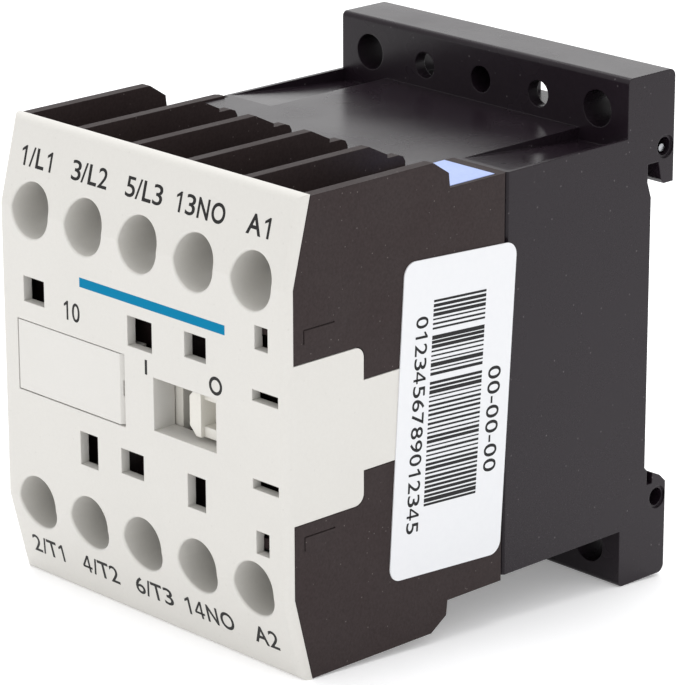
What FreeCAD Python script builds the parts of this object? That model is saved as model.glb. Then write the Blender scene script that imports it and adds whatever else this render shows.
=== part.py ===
import FreeCAD
import Part
import math
import os
import Sketcher

# A four-pole mini contactor for a 35 mm rail, in millimetres.
# X runs from pole to pole, +Y into the panel, +Z up. The origin is the middle of the
# 35 x 50 fixing pattern on the plane that meets the panel, so the front face is at y = -depth.
# Most pieces are placed by how far they lie behind the front face: see behind().

SIZES = {
    # the whole object
    "depth": 57.8,
    "cover_width": 45.0,
    "pole_pitch": 8.65,
    "screw_row": 16.45,
    "clearance": 0.1,
    # front cover
    "cover_half_height": 25.85,
    "slope_depth": 2.4,
    "skin": 1.05,
    "cover_round": 0.9,
    "backing_rear": 1.12,
    "backing_half_width": 20.8,
    "backing_half_height": 10.7,
    "mouth_round": 0.25,
    "driver_hole_radius": 3.0,
    "driver_tube_radius": 3.6,
    "driver_tube_rear": 6.2,
    "wing_skin": 0.8,
    "wing_half_height": 8.5,
    "wing_rear": 10.75,
    "wing_round": 1.2,
    "tongue_half_height": 4.87,
    "tongue_rear": 17.5,
    "window_left": 2.37,
    "window_right": 12.05,
    "window_bottom": -3.05,
    "window_top": 2.75,
    "window_rear": 2.9,
    "window_wall": 0.95,
    # marker plate and the recess that holds it
    "marker_left": -19.6,
    "marker_right": -2.3,
    "marker_bottom": -3.75,
    "marker_top": 4.05,
    "marker_thick": 1.15,
    "marker_gap": 0.12,
    "marker_bevel": 0.7,
    "recess_depth": 1.25,
    "recess_wall": 0.85,
    "recess_floor_rear": 2.3,
    "clip_width": 1.2,
    "clip_half_height": 1.0,
    "clip_rear": 3.0,
    "hook_reach": 0.3,
    # contact housing
    "housing_top": 25.7,
    "housing_deck": 22.6,
    "housing_rear": 31.45,
    "housing_wall": 1.3,
    "fin_thick": 1.15,
    "side_chamfer_start": 20.6,
    "side_chamfer_end": 22.8,
    "side_chamfer_low": 24.25,
    "fin_chamfer_start": 20.2,
    "fin_chamfer_end": 22.8,
    "fin_chamfer_low": 24.4,
    "nub_top": 24.0,
    "nub_rear": 25.4,
    "front_wall_front": 3.2,
    "front_wall_rear": 4.4,
    "centre_half_height": 10.9,
    "bay_floor": 12.0,
    "bay_rear": 13.0,
    "chamber_front": 14.4,
    "chamber_rear": 28.4,
    "roof_thick": 2.4,
    "entry_rear": 16.3,
    "entry_floor": 21.2,
    "cavity_half_width": 20.9,
    "lip_thick": 1.4,
    "lip_rear": 33.2,
    # coil tag and side label
    "tag_left": 14.6,
    "tag_right": 21.9,
    "tag_front": 20.5,
    "tag_rear": 30.1,
    "tag_thick": 0.25,
    "label_long": 34.3,
    "label_wide": 16.4,
    "label_thick": 0.12,
    "label_round": 1.5,
    "label_behind": 23.6,
    "label_height": -1.65,
    "label_tilt": 3.6,
    # base housing, its flanges and the rail claw
    "base_half_width": 22.0,
    "base_half_height": 22.4,
    "base_front": 31.9,
    "joint_chamfer": 0.4,
    "apron_front": 25.5,
    "apron_low": 21.3,
    "apron_right": 14.4,
    "latch_line_front": 2.4,
    "latch_line_rear": 6.7,
    "latch_line_upper": 10.5,
    "latch_line_lower": -11.5,
    "latch_line_tall": 1.6,
    "latch_line_wide": 0.16,
    "latch_line_depth": 0.12,
    "base_wall": 1.4,
    "base_floor_front": 52.3,
    "rail_face": 54.3,
    "flange_front": 50.4,
    "flange_half_height": 29.0,
    "fixing_spacing_wide": 35.0,
    "fixing_spacing_tall": 50.0,
    "fixing_radius": 2.05,
    "small_hole_radius": 1.5,
    "small_hole_pitch": 8.75,
    "flange_skin": 1.5,
    "flange_pocket_inner": 2.2,
    "flange_pocket_outer": 12.6,
    "flange_pocket_tall": 4.2,
    "blind_hole_rear": 55.0,
    "ramp_inner": 14.9,
    "ramp_outer": 21.5,
    "ramp_start": 32.6,
    "ramp_low": 20.9,
    "ramp_backing_front": 39.0,
    "ramp_backing_low": 19.9,
    "side_hole_radius": 1.0,
    "side_hole_ring": 1.3,
    "ring_depth": 0.25,
    "side_hole_deep": 8.0,
    "upper_hole_behind": 56.45,
    "upper_hole_height": 20.5,
    "lower_hole_behind": 56.5,
    "lower_hole_height": -19.87,
    "channel_half_width": 15.0,
    "channel_front": 53.8,
    "channel_rear": 57.15,
    "notch_top": 18.98,
    "channel_top": 22.3,
    # rail spring
    "spring_wire_radius": 0.45,
    "rail_spring_end_behind": 56.6,
    "rail_spring_end_height": 20.2,
    "rail_spring_half_width": 21.3,
    "rail_spring_bend_out": 12.0,
    "rail_spring_bend_in": 6.0,
    "rail_spring_low_behind": 54.6,
    "rail_spring_low_height": 18.3,
    "rail_spring_bend_radius": 5.0,
    # moving comb
    "travel": 4.0,
    "comb_left": -16.5,
    "comb_right": 19.8,
    "comb_half_height": 4.0,
    "comb_front": 17.5,
    "comb_rear": 25.7,
    "rail_thick": 1.5,
    "web_thick": 1.0,
    "stem_left": 6.9,
    "stem_right": 9.9,
    "stem_half_height": 2.2,
    "shuttle_left": -0.5,
    "shuttle_front": 4.7,
    "shuttle_rear": 6.2,
    "shuttle_half_height": 3.6,
    "rib_right": 3.45,
    "rib_front": 3.1,
    "tab_left": 6.85,
    "tab_right": 11.9,
    "tab_front": 1.0,
    "tab_bottom": -2.5,
    "tab_top": 2.7,
    "tab_chamfer": 1.0,
    "hook_left": 8.6,
    "hook_flange": 1.15,
    "hook_floor": 3.0,
    "arm_drop": 0.5,
    "shuttle_slot_top": 2.6,
    "yoke_left": 17.3,
    "yoke_front": 35.2,
    "yoke_rear": 48.8,
    "yoke_half_height": 19.4,
    "leg_half_height": 3.6,
    "lug_thick": 1.7,
    "lug_reach": 3.4,
    "lug_half_height": 2.4,
    # contacts
    "contact_gap": 2.65,
    "strip_thick": 0.8,
    "tip_radius": 1.5,
    "tip_thick": 0.6,
    "tip_height": 7.3,
    "bridge_half_height": 9.0,
    "bridge_front": 19.6,
    "bridge_rear": 23.6,
    "contact_behind": 21.6,
    "fixed_face": 1.4,
    # terminals
    "pad_front": 12.0,
    "pad_thick": 1.0,
    "pad_half_width": 3.1,
    "pad_low": 12.7,
    "pad_high": 20.0,
    "blade_rear": 24.0,
    "blade_high": 17.0,
    "blade_low": 5.7,
    "arm_front": 18.6,
    "boss_radius": 2.4,
    "boss_rear": 14.9,
    "thread_radius": 1.55,
    "coil_blade_left": 19.6,
    "coil_blade_rear": 33.4,
    # terminal screws and clamp washers
    "screw_radius": 1.5,
    "screw_rear": 17.5,
    "head_radius": 2.75,
    "head_front": 8.6,
    "head_rear": 11.0,
    "slot_width": 0.8,
    "slot_depth": 1.1,
    "cross_half": 1.7,
    "washer_front": 11.02,
    "washer_rear": 11.95,
    "washer_half": 3.15,
    "washer_hole_radius": 1.6,
    "washer_lip": 0.35,
    # magnet
    "magnet_behind": 42.0,
    "stack": 8.0,
    "core_left": -19.6,
    "core_back": 4.0,
    "core_face": -1.0,
    "air_gap": 4.1,
    "armature_back_left": 13.1,
    "armature_right": 17.1,
    "centre_leg": 4.0,
    "outer_leg_low": 10.8,
    "outer_leg_high": 14.8,
    "bobbin_left": -15.3,
    "bobbin_right": 8.8,
    "bobbin_bore": 4.3,
    "bobbin_tube": 5.3,
    "bobbin_flange_thick": 1.0,
    "bobbin_flange_wide": 9.9,
    "bobbin_flange_tall": 10.4,
    "winding_half": 9.5,
    "winding_round": 2.2,
    "tape_thick": 0.25,
    "ring_front_gap": 0.2,
    "ring_bar": 0.5,
    "ring_long": 1.0,
    "ring_low": 12.6,
    "ring_high": 15.3,
    "pad_left": -20.5,
    "pin_radius": 1.0,
    "pin_height": 0.0,
    # springs
    "return_spring_left": 5.75,
    "return_spring_height": 17.6,
    "return_spring_radius": 1.4,
    "return_spring_wire": 0.25,
    "return_spring_turns": 7.0,
    "boss_left": 3.7,
    "boss_low": 15.6,
    "boss_half_depth": 3.0,
    "contact_spring_radius": 1.3,
    "contact_spring_wire": 0.2,
    "contact_spring_turns": 6.0,
}

POLES = (-2, -1, 0, 1)
COLUMNS = (-2, -1, 0, 1, 2)
ROWS = (1, -1)
ROW_NAMES = {1: "line", -1: "load"}

# Front openings beside the window: left, right, bottom and top of each.
APERTURES = (
    (-18.5, -15.1, 6.3, 9.14),
    (-1.6, 2.25, 5.3, 8.6),
    (7.3, 10.6, 6.2, 8.95),
    (17.95, 19.9, 9.57, 12.1),
    (17.5, 21.35, 4.06, 5.25),
    (17.5, 21.35, -5.37, -4.28),
    (17.95, 19.9, -12.3, -9.8),
    (-9.65, -6.8, -9.9, -6.15),
    (-3.0, 0.6, -9.15, -6.35),
    (7.5, 10.3, -10.06, -6.4),
)

doc = FreeCAD.newDocument("Contactor")
sheet = doc.addObject("Spreadsheet::Sheet", "Sizes")


class Size:
    """A length that carries its value and its spreadsheet expression together."""

    def __init__(self, number, text):
        self.number = float(number)
        self.text = text

    def __add__(self, other):
        other = size(other)
        return Size(self.number + other.number, f"({self.text} + {other.text})")

    def __sub__(self, other):
        other = size(other)
        return Size(self.number - other.number, f"({self.text} - {other.text})")

    def __mul__(self, other):
        other = size(other)
        return Size(self.number * other.number, f"({self.text} * {other.text})")

    def __neg__(self):
        return Size(-self.number, f"(-1 * {self.text})")

    def __radd__(self, other):
        return size(other) + self

    def __rsub__(self, other):
        return size(other) - self

    def __rmul__(self, other):
        return size(other) * self


def size(thing):
    """Makes a Size of a plain number, and leaves a Size as it is."""
    if isinstance(thing, Size):
        return thing
    return Size(thing, f"({thing:.6f})")


def fill_sheet():
    """Writes every driving dimension to the sheet, with its alias."""
    for row, (alias, number) in enumerate(SIZES.items(), start=1):
        sheet.set(f"A{row}", alias)
        sheet.set(f"B{row}", str(number))
        sheet.setAlias(f"B{row}", alias)
    doc.recompute()


def cell(alias):
    """The Size that a cell of the sheet holds."""
    return Size(sheet.get(alias), f"Sizes.{alias}")


fill_sheet()
dim = {alias: cell(alias) for alias in SIZES}


def behind(distance):
    """The y of a place so far behind the front face."""
    return -dim["depth"] + distance


def pole_x(column):
    """The x of the middle of a column of terminals."""
    return dim["pole_pitch"] * column


def both(half):
    """The two ends of a width that is centred on the origin."""
    return -size(half), size(half)


def mirror(row, low, high):
    """Two heights for the upper row, or the same two turned over for the lower one."""
    return (low, high) if row > 0 else (-size(high), -size(low))


def bind(item, prop, value):
    """Ties one property of an object to an expression."""
    item.setExpression(prop, size(value).text)


def box(name, x, y, z):
    """A box between two places on each axis."""
    item = doc.addObject("Part::Box", name)
    for prop, axis, (low, high) in zip(("Length", "Width", "Height"), "xyz", (x, y, z)):
        bind(item, prop, size(high) - low)
        bind(item, f".Placement.Base.{axis}", low)
    return item


def block(name, x, depths, z):
    """A box whose y is given as two distances behind the front face."""
    return box(name, x, tuple(behind(d) for d in depths), z)


TURNS = {
    "x": FreeCAD.Rotation(FreeCAD.Vector(0, 1, 0), 90),
    "y": FreeCAD.Rotation(FreeCAD.Vector(1, 0, 0), -90),
    "z": FreeCAD.Rotation(),
}


def rod(name, axis, radius, start, stop, across):
    """A cylinder along one axis, from start to stop, centred across the other two."""
    item = doc.addObject("Part::Cylinder", name)
    item.Placement = FreeCAD.Placement(FreeCAD.Vector(), TURNS[axis])
    bind(item, "Radius", radius)
    bind(item, "Height", size(stop) - start)
    places = dict(zip([a for a in "xyz" if a != axis], across))
    places[axis] = start
    for letter, place in places.items():
        bind(item, f".Placement.Base.{letter}", place)
    return item


def drill(name, radius, depths, x, z):
    """A cylinder along Y between two distances behind the front face."""
    return rod(name, "y", radius, behind(depths[0]), behind(depths[1]), (x, z))


def fuse(name, shapes):
    """Several solids joined into one."""
    if len(shapes) == 1:
        return shapes[0]
    item = doc.addObject("Part::MultiFuse", name)
    item.Shapes = shapes
    item.Refine = True
    return item


def cut(name, base, tools):
    """One solid with others taken away."""
    item = doc.addObject("Part::Cut", name)
    item.Base = base
    item.Tool = fuse(f"{name}_tools", tools)
    item.Refine = True
    return item


def group(name, shapes):
    """Separate solids that share one node."""
    item = doc.addObject("Part::Compound", name)
    item.Links = shapes
    return item


def node(item, label):
    """Marks the object as a finished sub-part."""
    item.Label = label
    finished.append(item)
    return item


def outline(body, name, plane, points, level):
    """A closed sketch on one of the body's own planes, every point tied to the sheet."""
    sketch = body.newObject("Sketcher::SketchObject", name)
    support = next(f for f in body.Origin.OriginFeatures if f.Role == f"{plane}_Plane")
    sketch.AttachmentSupport = [(support, "")]
    sketch.MapMode = "FlatFace"
    bind(sketch, ".AttachmentOffset.Base.z", -level if plane == "XZ" else level)
    places = [(size(a), size(b)) for a, b in points]
    count = len(places)
    for index in range(count):
        ends = (places[index], places[(index + 1) % count])
        corners = [FreeCAD.Vector(a.number, b.number, 0) for a, b in ends]
        sketch.addGeometry(Part.LineSegment(*corners), False)
    for index in range(count):
        sketch.addConstraint(Sketcher.Constraint("Coincident", index, 2, (index + 1) % count, 1))
    for index, place in enumerate(places):
        for kind, length in zip(("DistanceX", "DistanceY"), place):
            rule = Sketcher.Constraint(kind, -1, 1, index, 1, length.number)
            bind(sketch, f"Constraints[{sketch.addConstraint(rule)}]", length)
    return sketch


def padded(name, plane, points, low, high):
    """A body padded from a closed outline, from low to high along the plane's axis."""
    body = doc.addObject("PartDesign::Body", name)
    sketch = outline(body, f"{name}_sketch", plane, points, size(low))
    pad = body.newObject("PartDesign::Pad", f"{name}_pad")
    pad.Profile = sketch
    pad.Reversed = plane == "XZ"
    bind(pad, "Length", size(high) - low)
    return body


def turned(name, points):
    """A body of revolution about its own Y axis, from a half section of (radius, y) points."""
    body = doc.addObject("PartDesign::Body", name)
    sketch = outline(body, f"{name}_sketch", "XY", points, size(0))
    spin = body.newObject("PartDesign::Revolution", f"{name}_turn")
    spin.Profile = sketch
    spin.ReferenceAxis = (sketch, ["V_Axis"])
    spin.Angle = 360.0
    return body


def straight_edges(body, axis, places):
    """The names of the body's edges that run along one axis through the given points."""
    doc.recompute()
    index = "xyz".index(axis)
    others = [i for i in range(3) if i != index]
    found = []
    for number, edge in enumerate(body.Shape.Edges, start=1):
        ends = [v.Point for v in edge.Vertexes]
        for place in places:
            near = all(abs(end[i] - p.number) < 1e-3 for end in ends for i, p in zip(others, place))
            if near and len(ends) == 2:
                found.append(f"Edge{number}")
    return found


def dressed(body, kind, name, prop, value, edges):
    """Adds a fillet or a chamfer to the body's last feature."""
    base = body.Tip
    dress = body.newObject(f"PartDesign::{kind}", name)
    dress.Base = (base, edges)
    bind(dress, prop, value)
    body.Tip = dress
    return body


def depth_outline(points):
    """Turns (distance behind the front face, height) points into (y, z) points."""
    return [(behind(d), z) for d, z in points]


def helix_spring(name, radius, wire, turns, start, length, y, z):
    """A coil spring along +X as one swept solid."""
    height = length - 2 * wire
    coil = Part.makeHelix(height / turns, height, radius)
    ring = Part.makeCircle(wire, FreeCAD.Vector(radius, 0, 0), FreeCAD.Vector(0, 1, 0))
    solid = Part.Wire(coil.Edges).makePipeShell([Part.Wire(ring)], True, True)
    item = doc.addObject("Part::Feature", name)
    item.Shape = solid
    place = FreeCAD.Vector(start + wire, y, z)
    item.Placement = FreeCAD.Placement(place, TURNS["x"])
    return item


def rounded_path(points, radius):
    """Straight runs joined by tangent arcs of one radius."""
    edges = []
    last = points[0]
    for before, corner, after in zip(points, points[1:], points[2:]):
        back = (before - corner).normalize()
        ahead = (after - corner).normalize()
        half = back.getAngle(ahead) / 2
        reach = radius / math.tan(half)
        middle = (back + ahead).normalize() * (radius / math.sin(half) - radius)
        start = corner + back * reach
        stop = corner + ahead * reach
        edges.append(Part.LineSegment(last, start).toShape())
        edges.append(Part.Arc(start, corner + middle, stop).toShape())
        last = stop
    edges.append(Part.LineSegment(last, points[-1]).toShape())
    return Part.Wire(edges)


finished = []


# ---- front cover ----------------------------------------------------------------------


def cover_plate():
    """The bent front plate, rounded along its two sides."""
    flat = dim["screw_row"]
    top = dim["cover_half_height"]
    drop = dim["slope_depth"]
    front = [(drop, -top), (size(0), -flat), (size(0), flat), (drop, top)]
    rear = [(d + dim["skin"], z) for d, z in reversed(front)]
    half = dim["cover_width"] * 0.5
    body = padded("cover_plate", "YZ", depth_outline(front + rear), *both(half))
    doc.recompute()
    places = [(p.number, size(z).number) for p, z in depth_outline(front)]
    edges = []
    for number, edge in enumerate(body.Shape.Edges, start=1):
        ends = [v.Point for v in edge.Vertexes]
        on_side = all(abs(abs(p.x) - half.number) < 1e-3 for p in ends)
        in_front = all(min(math.hypot(p.y - y, p.z - z) for y, z in places) < 1e-3 for p in ends)
        if on_side and in_front:
            edges.append(f"Edge{number}")
    return dressed(body, "Fillet", "cover_side_round", "Radius", dim["cover_round"], edges)


def wing_points(margin):
    """The outline of a latch wing, with a margin for the recess it lies in."""
    half = dim["wing_half_height"] + margin
    rear = dim["wing_rear"] + margin
    narrow = dim["tongue_half_height"] + margin
    end = dim["tongue_rear"] + margin
    front = dim["cover_round"]
    upper = [(end, narrow), (rear, narrow), (rear, half), (front, half)]
    return [(d, -z) for d, z in reversed(upper)] + upper


def wing(name, side, margin, inner, outer):
    """A latch wing on one side, or the recess for it."""
    low, high = (inner, outer) if side > 0 else (-outer, -inner)
    body = padded(name, "YZ", depth_outline(wing_points(margin)), low, high)
    rear = behind(dim["wing_rear"] + margin)
    half = dim["wing_half_height"] + margin
    edges = straight_edges(body, "x", [(rear, half), (rear, -half)])
    return dressed(body, "Fillet", f"{name}_round", "Radius", dim["wing_round"], edges)


def recess_box(name, margin, depths):
    """A box round the marker plate, larger by a margin."""
    x = (dim["marker_left"] - margin, dim["marker_right"] + margin)
    z = (dim["marker_bottom"] - margin, dim["marker_top"] + margin)
    return block(name, x, depths, z)


def clip_places():
    """The x of each marker clip's left side."""
    inset = 2.4
    left = dim["marker_left"] + inset
    right = dim["marker_right"] - inset - dim["clip_width"]
    return left, right


def mouth_edges(shape):
    """The numbers of the edges where the driver holes meet the front face."""
    row = dim["screw_row"].number
    radius = dim["driver_hole_radius"].number
    fall = dim["slope_depth"].number / (dim["cover_half_height"].number - row)
    centres = [(pole_x(column).number, row * side) for column in COLUMNS for side in ROWS]
    found = []
    for number, edge in enumerate(shape.Edges, start=1):
        span = edge.LastParameter - edge.FirstParameter
        points = [edge.valueAt(edge.FirstParameter + span * part) for part in (0, 0.5, 1)]
        heights = [p.y - behind(0).number - fall * max(0, abs(p.z) - row) for p in points]
        misses = [max(abs(math.hypot(p.x - x, p.z - z) - radius) for p in points) for x, z in centres]
        if max(abs(h) for h in heights) < 0.02 and min(misses) < 0.02:
            found.append(number)
    return found


def make_cover():
    """The light grey moulding with its driver tubes, window, recess and latch wings."""
    gap = dim["marker_gap"]
    wall = dim["recess_wall"]
    edge = dim["window_wall"]
    outer = dim["cover_width"] * 0.5
    solids = [cover_plate()]
    backing_x = both(dim["backing_half_width"])
    backing_z = both(dim["backing_half_height"])
    solids.append(block("cover_backing", backing_x, (dim["skin"] - 0.3, dim["backing_rear"]), backing_z))
    solids.append(recess_box("recess_walls", gap + wall, (0.5, dim["recess_floor_rear"])))
    window_x = (dim["window_left"] - edge, dim["window_right"] + edge)
    window_z = (dim["window_bottom"] - edge, dim["window_top"] + edge)
    solids.append(block("window_walls", window_x, (0.5, dim["window_rear"]), window_z))
    for side in (1, -1):
        inner = outer - dim["wing_skin"]
        solids.append(wing(f"cover_wing_{'right' if side > 0 else 'left'}", side, 0, inner, outer))
    holes = [recess_box("marker_recess", gap, (-1, dim["recess_depth"]))]
    window_x = (dim["window_left"], dim["window_right"])
    window_z = (dim["window_bottom"], dim["window_top"])
    holes.append(block("window_hole", window_x, (-1, 4), window_z))
    for number, (left, right, low, high) in enumerate(APERTURES, start=1):
        holes.append(block(f"aperture_{number}", (left, right), (-1, 3), (low, high)))
    for number, left in enumerate(clip_places(), start=1):
        x = (left - gap, left + dim["clip_width"] + dim["hook_reach"] + gap)
        z = both(dim["clip_half_height"] + gap)
        holes.append(block(f"clip_slot_{number}", x, (0.5, 3), z))
    for column in COLUMNS:
        for row in ROWS:
            tag = f"{column + 3}_{ROW_NAMES[row]}"
            place = (pole_x(column), dim["screw_row"] * row)
            depths = (dim["skin"] - 0.05, dim["driver_tube_rear"])
            solids.append(drill(f"driver_tube_{tag}", dim["driver_tube_radius"], depths, *place))
            holes.append(drill(f"driver_hole_{tag}", dim["driver_hole_radius"], (-1, 7), *place))
    whole = cut("cover_cut", fuse("cover_solid", solids), holes)
    doc.recompute()
    mouths = doc.addObject("Part::Fillet", "driver_hole_mouths")
    mouths.Base = whole
    round_size = dim["mouth_round"].number
    mouths.Edges = [(number, round_size, round_size) for number in mouth_edges(whole.Shape)]
    node(mouths, "front_cover")


def make_marker():
    """The clip-in marker plate, bevelled on its right, with a nick to lift it by."""
    x = (dim["marker_left"], dim["marker_right"])
    z = (dim["marker_bottom"], dim["marker_top"])
    corners = [(x[0], z[0]), (x[1], z[0]), (x[1], z[1]), (x[0], z[1])]
    front = behind(0.03)
    plate = padded("marker_body", "XZ", corners, front, behind(dim["marker_thick"]))
    edges = straight_edges(plate, "z", [(x[1], front)])
    dressed(plate, "Chamfer", "marker_bevel_cut", "Size", dim["marker_bevel"], edges)
    solids = [plate]
    thin = dim["marker_thick"] - 0.2
    for number, left in enumerate(clip_places(), start=1):
        z = both(dim["clip_half_height"])
        right = left + dim["clip_width"]
        solids.append(block(f"clip_{number}", (left, right), (thin, dim["clip_rear"]), z))
        hook = (left, right + dim["hook_reach"])
        depths = (dim["recess_floor_rear"] + 0.05, dim["clip_rear"])
        solids.append(block(f"clip_hook_{number}", hook, depths, z))
    nick = block("marker_nick", (x[1] - 0.45, x[1] + 1), (-1, 0.9), (-0.6, 1.1))
    node(cut("marker_cut", fuse("marker_solid", solids), [nick]), "marker_plate")


# ---- contact housing ------------------------------------------------------------------


def housing_shell():
    """The outer block of the housing, with the side walls' stepped top and bottom."""
    skin = dim["skin"] + 0.05
    deck = dim["housing_deck"]
    upper = [
        (dim["housing_rear"], deck),
        (dim["nub_rear"], deck),
        (dim["nub_rear"], dim["housing_top"]),
        (skin + dim["slope_depth"], dim["housing_top"]),
        (skin, dim["screw_row"]),
    ]
    points = [(d, -z) for d, z in reversed(upper)] + upper
    half = dim["cover_width"] * 0.5
    body = padded("housing_shell", "YZ", depth_outline(points), *both(half))
    rear = behind(dim["housing_rear"])
    edges = straight_edges(body, "z", [(half, rear), (-half, rear)])
    return dressed(body, "Chamfer", "housing_joint_edge", "Size", dim["joint_chamfer"], edges)


def side_tail(name, side, row):
    """What is cut away behind and above the end of one side wall."""
    high = dim["housing_top"] + 1
    points = [
        (dim["side_chamfer_start"], high),
        (dim["side_chamfer_start"], dim["housing_top"]),
        (dim["side_chamfer_end"], dim["side_chamfer_low"]),
        (dim["side_chamfer_end"] + 0.2, dim["housing_deck"]),
        (dim["housing_rear"] + 1, dim["housing_deck"]),
        (dim["housing_rear"] + 1, high),
    ]
    places = [(d, z if row > 0 else -size(z)) for d, z in points]
    half = dim["cover_width"] * 0.5
    x = mirror(side, half - dim["housing_wall"], half + 1)
    return padded(name, "YZ", depth_outline(places), *x)


def fin_tail(name, row):
    """What is cut away behind and above the fins between the bays."""
    high = dim["housing_top"] + 1
    nub = dim["nub_rear"]
    top = dim["nub_top"]
    points = [
        (dim["fin_chamfer_start"], high),
        (dim["fin_chamfer_start"], dim["housing_top"]),
        (dim["fin_chamfer_end"], dim["fin_chamfer_low"]),
        (dim["fin_chamfer_end"], top),
        (nub - 0.9, top),
        (nub - 0.3, top - 0.25),
        (nub, top - 0.8),
        (nub, dim["housing_deck"]),
        (dim["housing_rear"] + 1, dim["housing_deck"]),
        (dim["housing_rear"] + 1, high),
    ]
    places = [(d, z if row > 0 else -size(z)) for d, z in points]
    half = dim["cover_width"] * 0.5 - dim["housing_wall"]
    return padded(name, "YZ", depth_outline(places), *both(half))


def bay_sides(column):
    """The x of a bay's two walls: fins between bays, the side wall at the ends."""
    half = (dim["pole_pitch"] - dim["fin_thick"]) * 0.5
    wall = dim["cover_width"] * 0.5 - dim["housing_wall"]
    left = -wall if column == COLUMNS[0] else pole_x(column) - half
    right = wall if column == COLUMNS[-1] else pole_x(column) + half
    return left, right


def bay_cuts(column, row):
    """The open bay of one terminal, its wire entry, the roof behind it and its screw hole."""
    tag = f"{column + 3}_{ROW_NAMES[row]}"
    x = bay_sides(column)
    high = dim["housing_top"] + 1
    cuts = [block(f"bay_{tag}", x, (0, dim["bay_rear"]), mirror(row, dim["bay_floor"], high))]
    above = mirror(row, dim["housing_deck"], high)
    cuts.append(block(f"bay_top_{tag}", x, (dim["bay_rear"] - 0.1, dim["housing_rear"] + 1), above))
    entry = mirror(row, dim["entry_floor"], high)
    cuts.append(block(f"bay_entry_{tag}", x, (dim["bay_rear"] - 0.1, dim["entry_rear"]), entry))
    deck = (dim["bay_rear"] - 0.1, dim["chamber_front"] + 0.1)
    hole = dim["boss_radius"] + dim["clearance"] * 2
    cuts.append(drill(f"boss_hole_{tag}", hole, deck, pole_x(column), dim["screw_row"] * row))
    return cuts


def blade_slot(column, row):
    """The slot in the deck that a pole's terminal blade goes in through."""
    gap = dim["clearance"]
    left = pole_x(column) - dim["pad_half_width"] - gap
    right = pole_x(column) - dim["fixed_face"] + gap
    deck = (dim["bay_rear"] - 0.1, dim["chamber_front"] + 0.1)
    z = mirror(row, dim["blade_low"] - gap, dim["blade_high"] + gap)
    return block(f"blade_slot_{column + 3}_{ROW_NAMES[row]}", (left, right), deck, z)


def chamber(column):
    """One pole's arc chamber, or the coil's column beside them."""
    left, right = bay_sides(column)
    wall = dim["cavity_half_width"]
    x = (-wall if column == COLUMNS[0] else left, wall if column == COLUMNS[-1] else right)
    z = both(dim["housing_deck"] - dim["roof_thick"])
    return block(f"chamber_{column + 3}", x, (dim["chamber_front"], dim["chamber_rear"]), z)


def latch_lines(row):
    """The fine grooves left by the mould's inserts beside each latch wing."""
    wide = dim["latch_line_wide"]
    low = dim["latch_line_upper"] if row > 0 else dim["latch_line_lower"]
    high = low + dim["latch_line_tall"]
    front, rear = dim["latch_line_front"], dim["latch_line_rear"]
    outer = dim["cover_width"] * 0.5
    lines = []
    for side, name in ((1, "right"), (-1, "left")):
        tag = f"{ROW_NAMES[row]}_{name}"
        x = mirror(side, outer - dim["latch_line_depth"], outer + 1)
        lines.append(block(f"latch_line_{tag}", x, (front, front + wide), (low, high)))
        lines.append(block(f"latch_line_{tag}_across", x, (front, rear), (high - wide, high)))
    return lines


def housing_cuts():
    """Everything that is taken out of the housing's block."""
    wall = dim["cavity_half_width"]
    centre = both(dim["centre_half_height"])
    front = dim["front_wall_front"]
    cuts = [block("centre_front", both(wall), (0, front), centre)]
    cuts.append(block("centre_rear", both(wall), (dim["front_wall_rear"], dim["bay_rear"]), centre))
    room = dim["travel"] + 0.5
    shuttle_x = (dim["shuttle_left"] - room, dim["tab_right"] + 1.2)
    shuttle_z = both(dim["shuttle_half_height"] + 1)
    cuts.append(block("shuttle_hole", shuttle_x, (front - 1, dim["front_wall_rear"] + 1), shuttle_z))
    stem_x = (dim["stem_left"] - room, dim["stem_right"] + 0.5)
    stem_d = (dim["bay_rear"] - 0.1, dim["comb_front"])
    cuts.append(block("stem_slot", stem_x, stem_d, both(dim["stem_half_height"] + 0.4)))
    comb_z = both(dim["comb_half_height"] + 0.6)
    comb_d = (dim["comb_front"] - 0.6, dim["comb_rear"] + 0.6)
    cuts.append(block("comb_slot", (-19, wall), comb_d, comb_z))
    leg_x = (dim["yoke_left"] - room, dim["comb_right"] + 0.5)
    leg_d = (dim["comb_rear"], dim["housing_rear"] + 2)
    cuts.append(block("leg_slot", leg_x, leg_d, comb_z))
    cuts.append(drill("plunger_hole", 1.6, (front - 1, dim["front_wall_rear"] + 1), 0.6, 7.0))
    for row in ROWS:
        name = ROW_NAMES[row]
        cuts.append(fin_tail(f"fin_tail_{name}", row))
        cuts.append(side_tail(f"side_tail_{name}_right", 1, row))
        cuts.append(side_tail(f"side_tail_{name}_left", -1, row))
        gap = dim["clearance"]
        seat_x = (dim["housing_wall"] - dim["cover_width"] * 0.5, dim["apron_right"] + gap)
        seat_d = (dim["apron_front"] - gap, dim["housing_rear"] + 1)
        seat_z = mirror(row, dim["apron_low"] - gap, dim["housing_top"] + 1)
        cuts.append(block(f"apron_seat_{name}", seat_x, seat_d, seat_z))
        cuts.extend(latch_lines(row))
        blade_x = (dim["coil_blade_left"] - 0.1, dim["cavity_half_width"])
        blade_z = mirror(row, dim["pad_low"], dim["blade_high"] + 0.2)
        blade_d = (dim["bay_rear"] - 0.1, dim["housing_rear"] + 1)
        cuts.append(block(f"coil_blade_slot_{name}", blade_x, blade_d, blade_z))
        for column in POLES:
            cuts.append(blade_slot(column, row))
        for column in COLUMNS:
            cuts.extend(bay_cuts(column, row))
    for column in COLUMNS:
        cuts.append(chamber(column))
    return cuts


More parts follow.
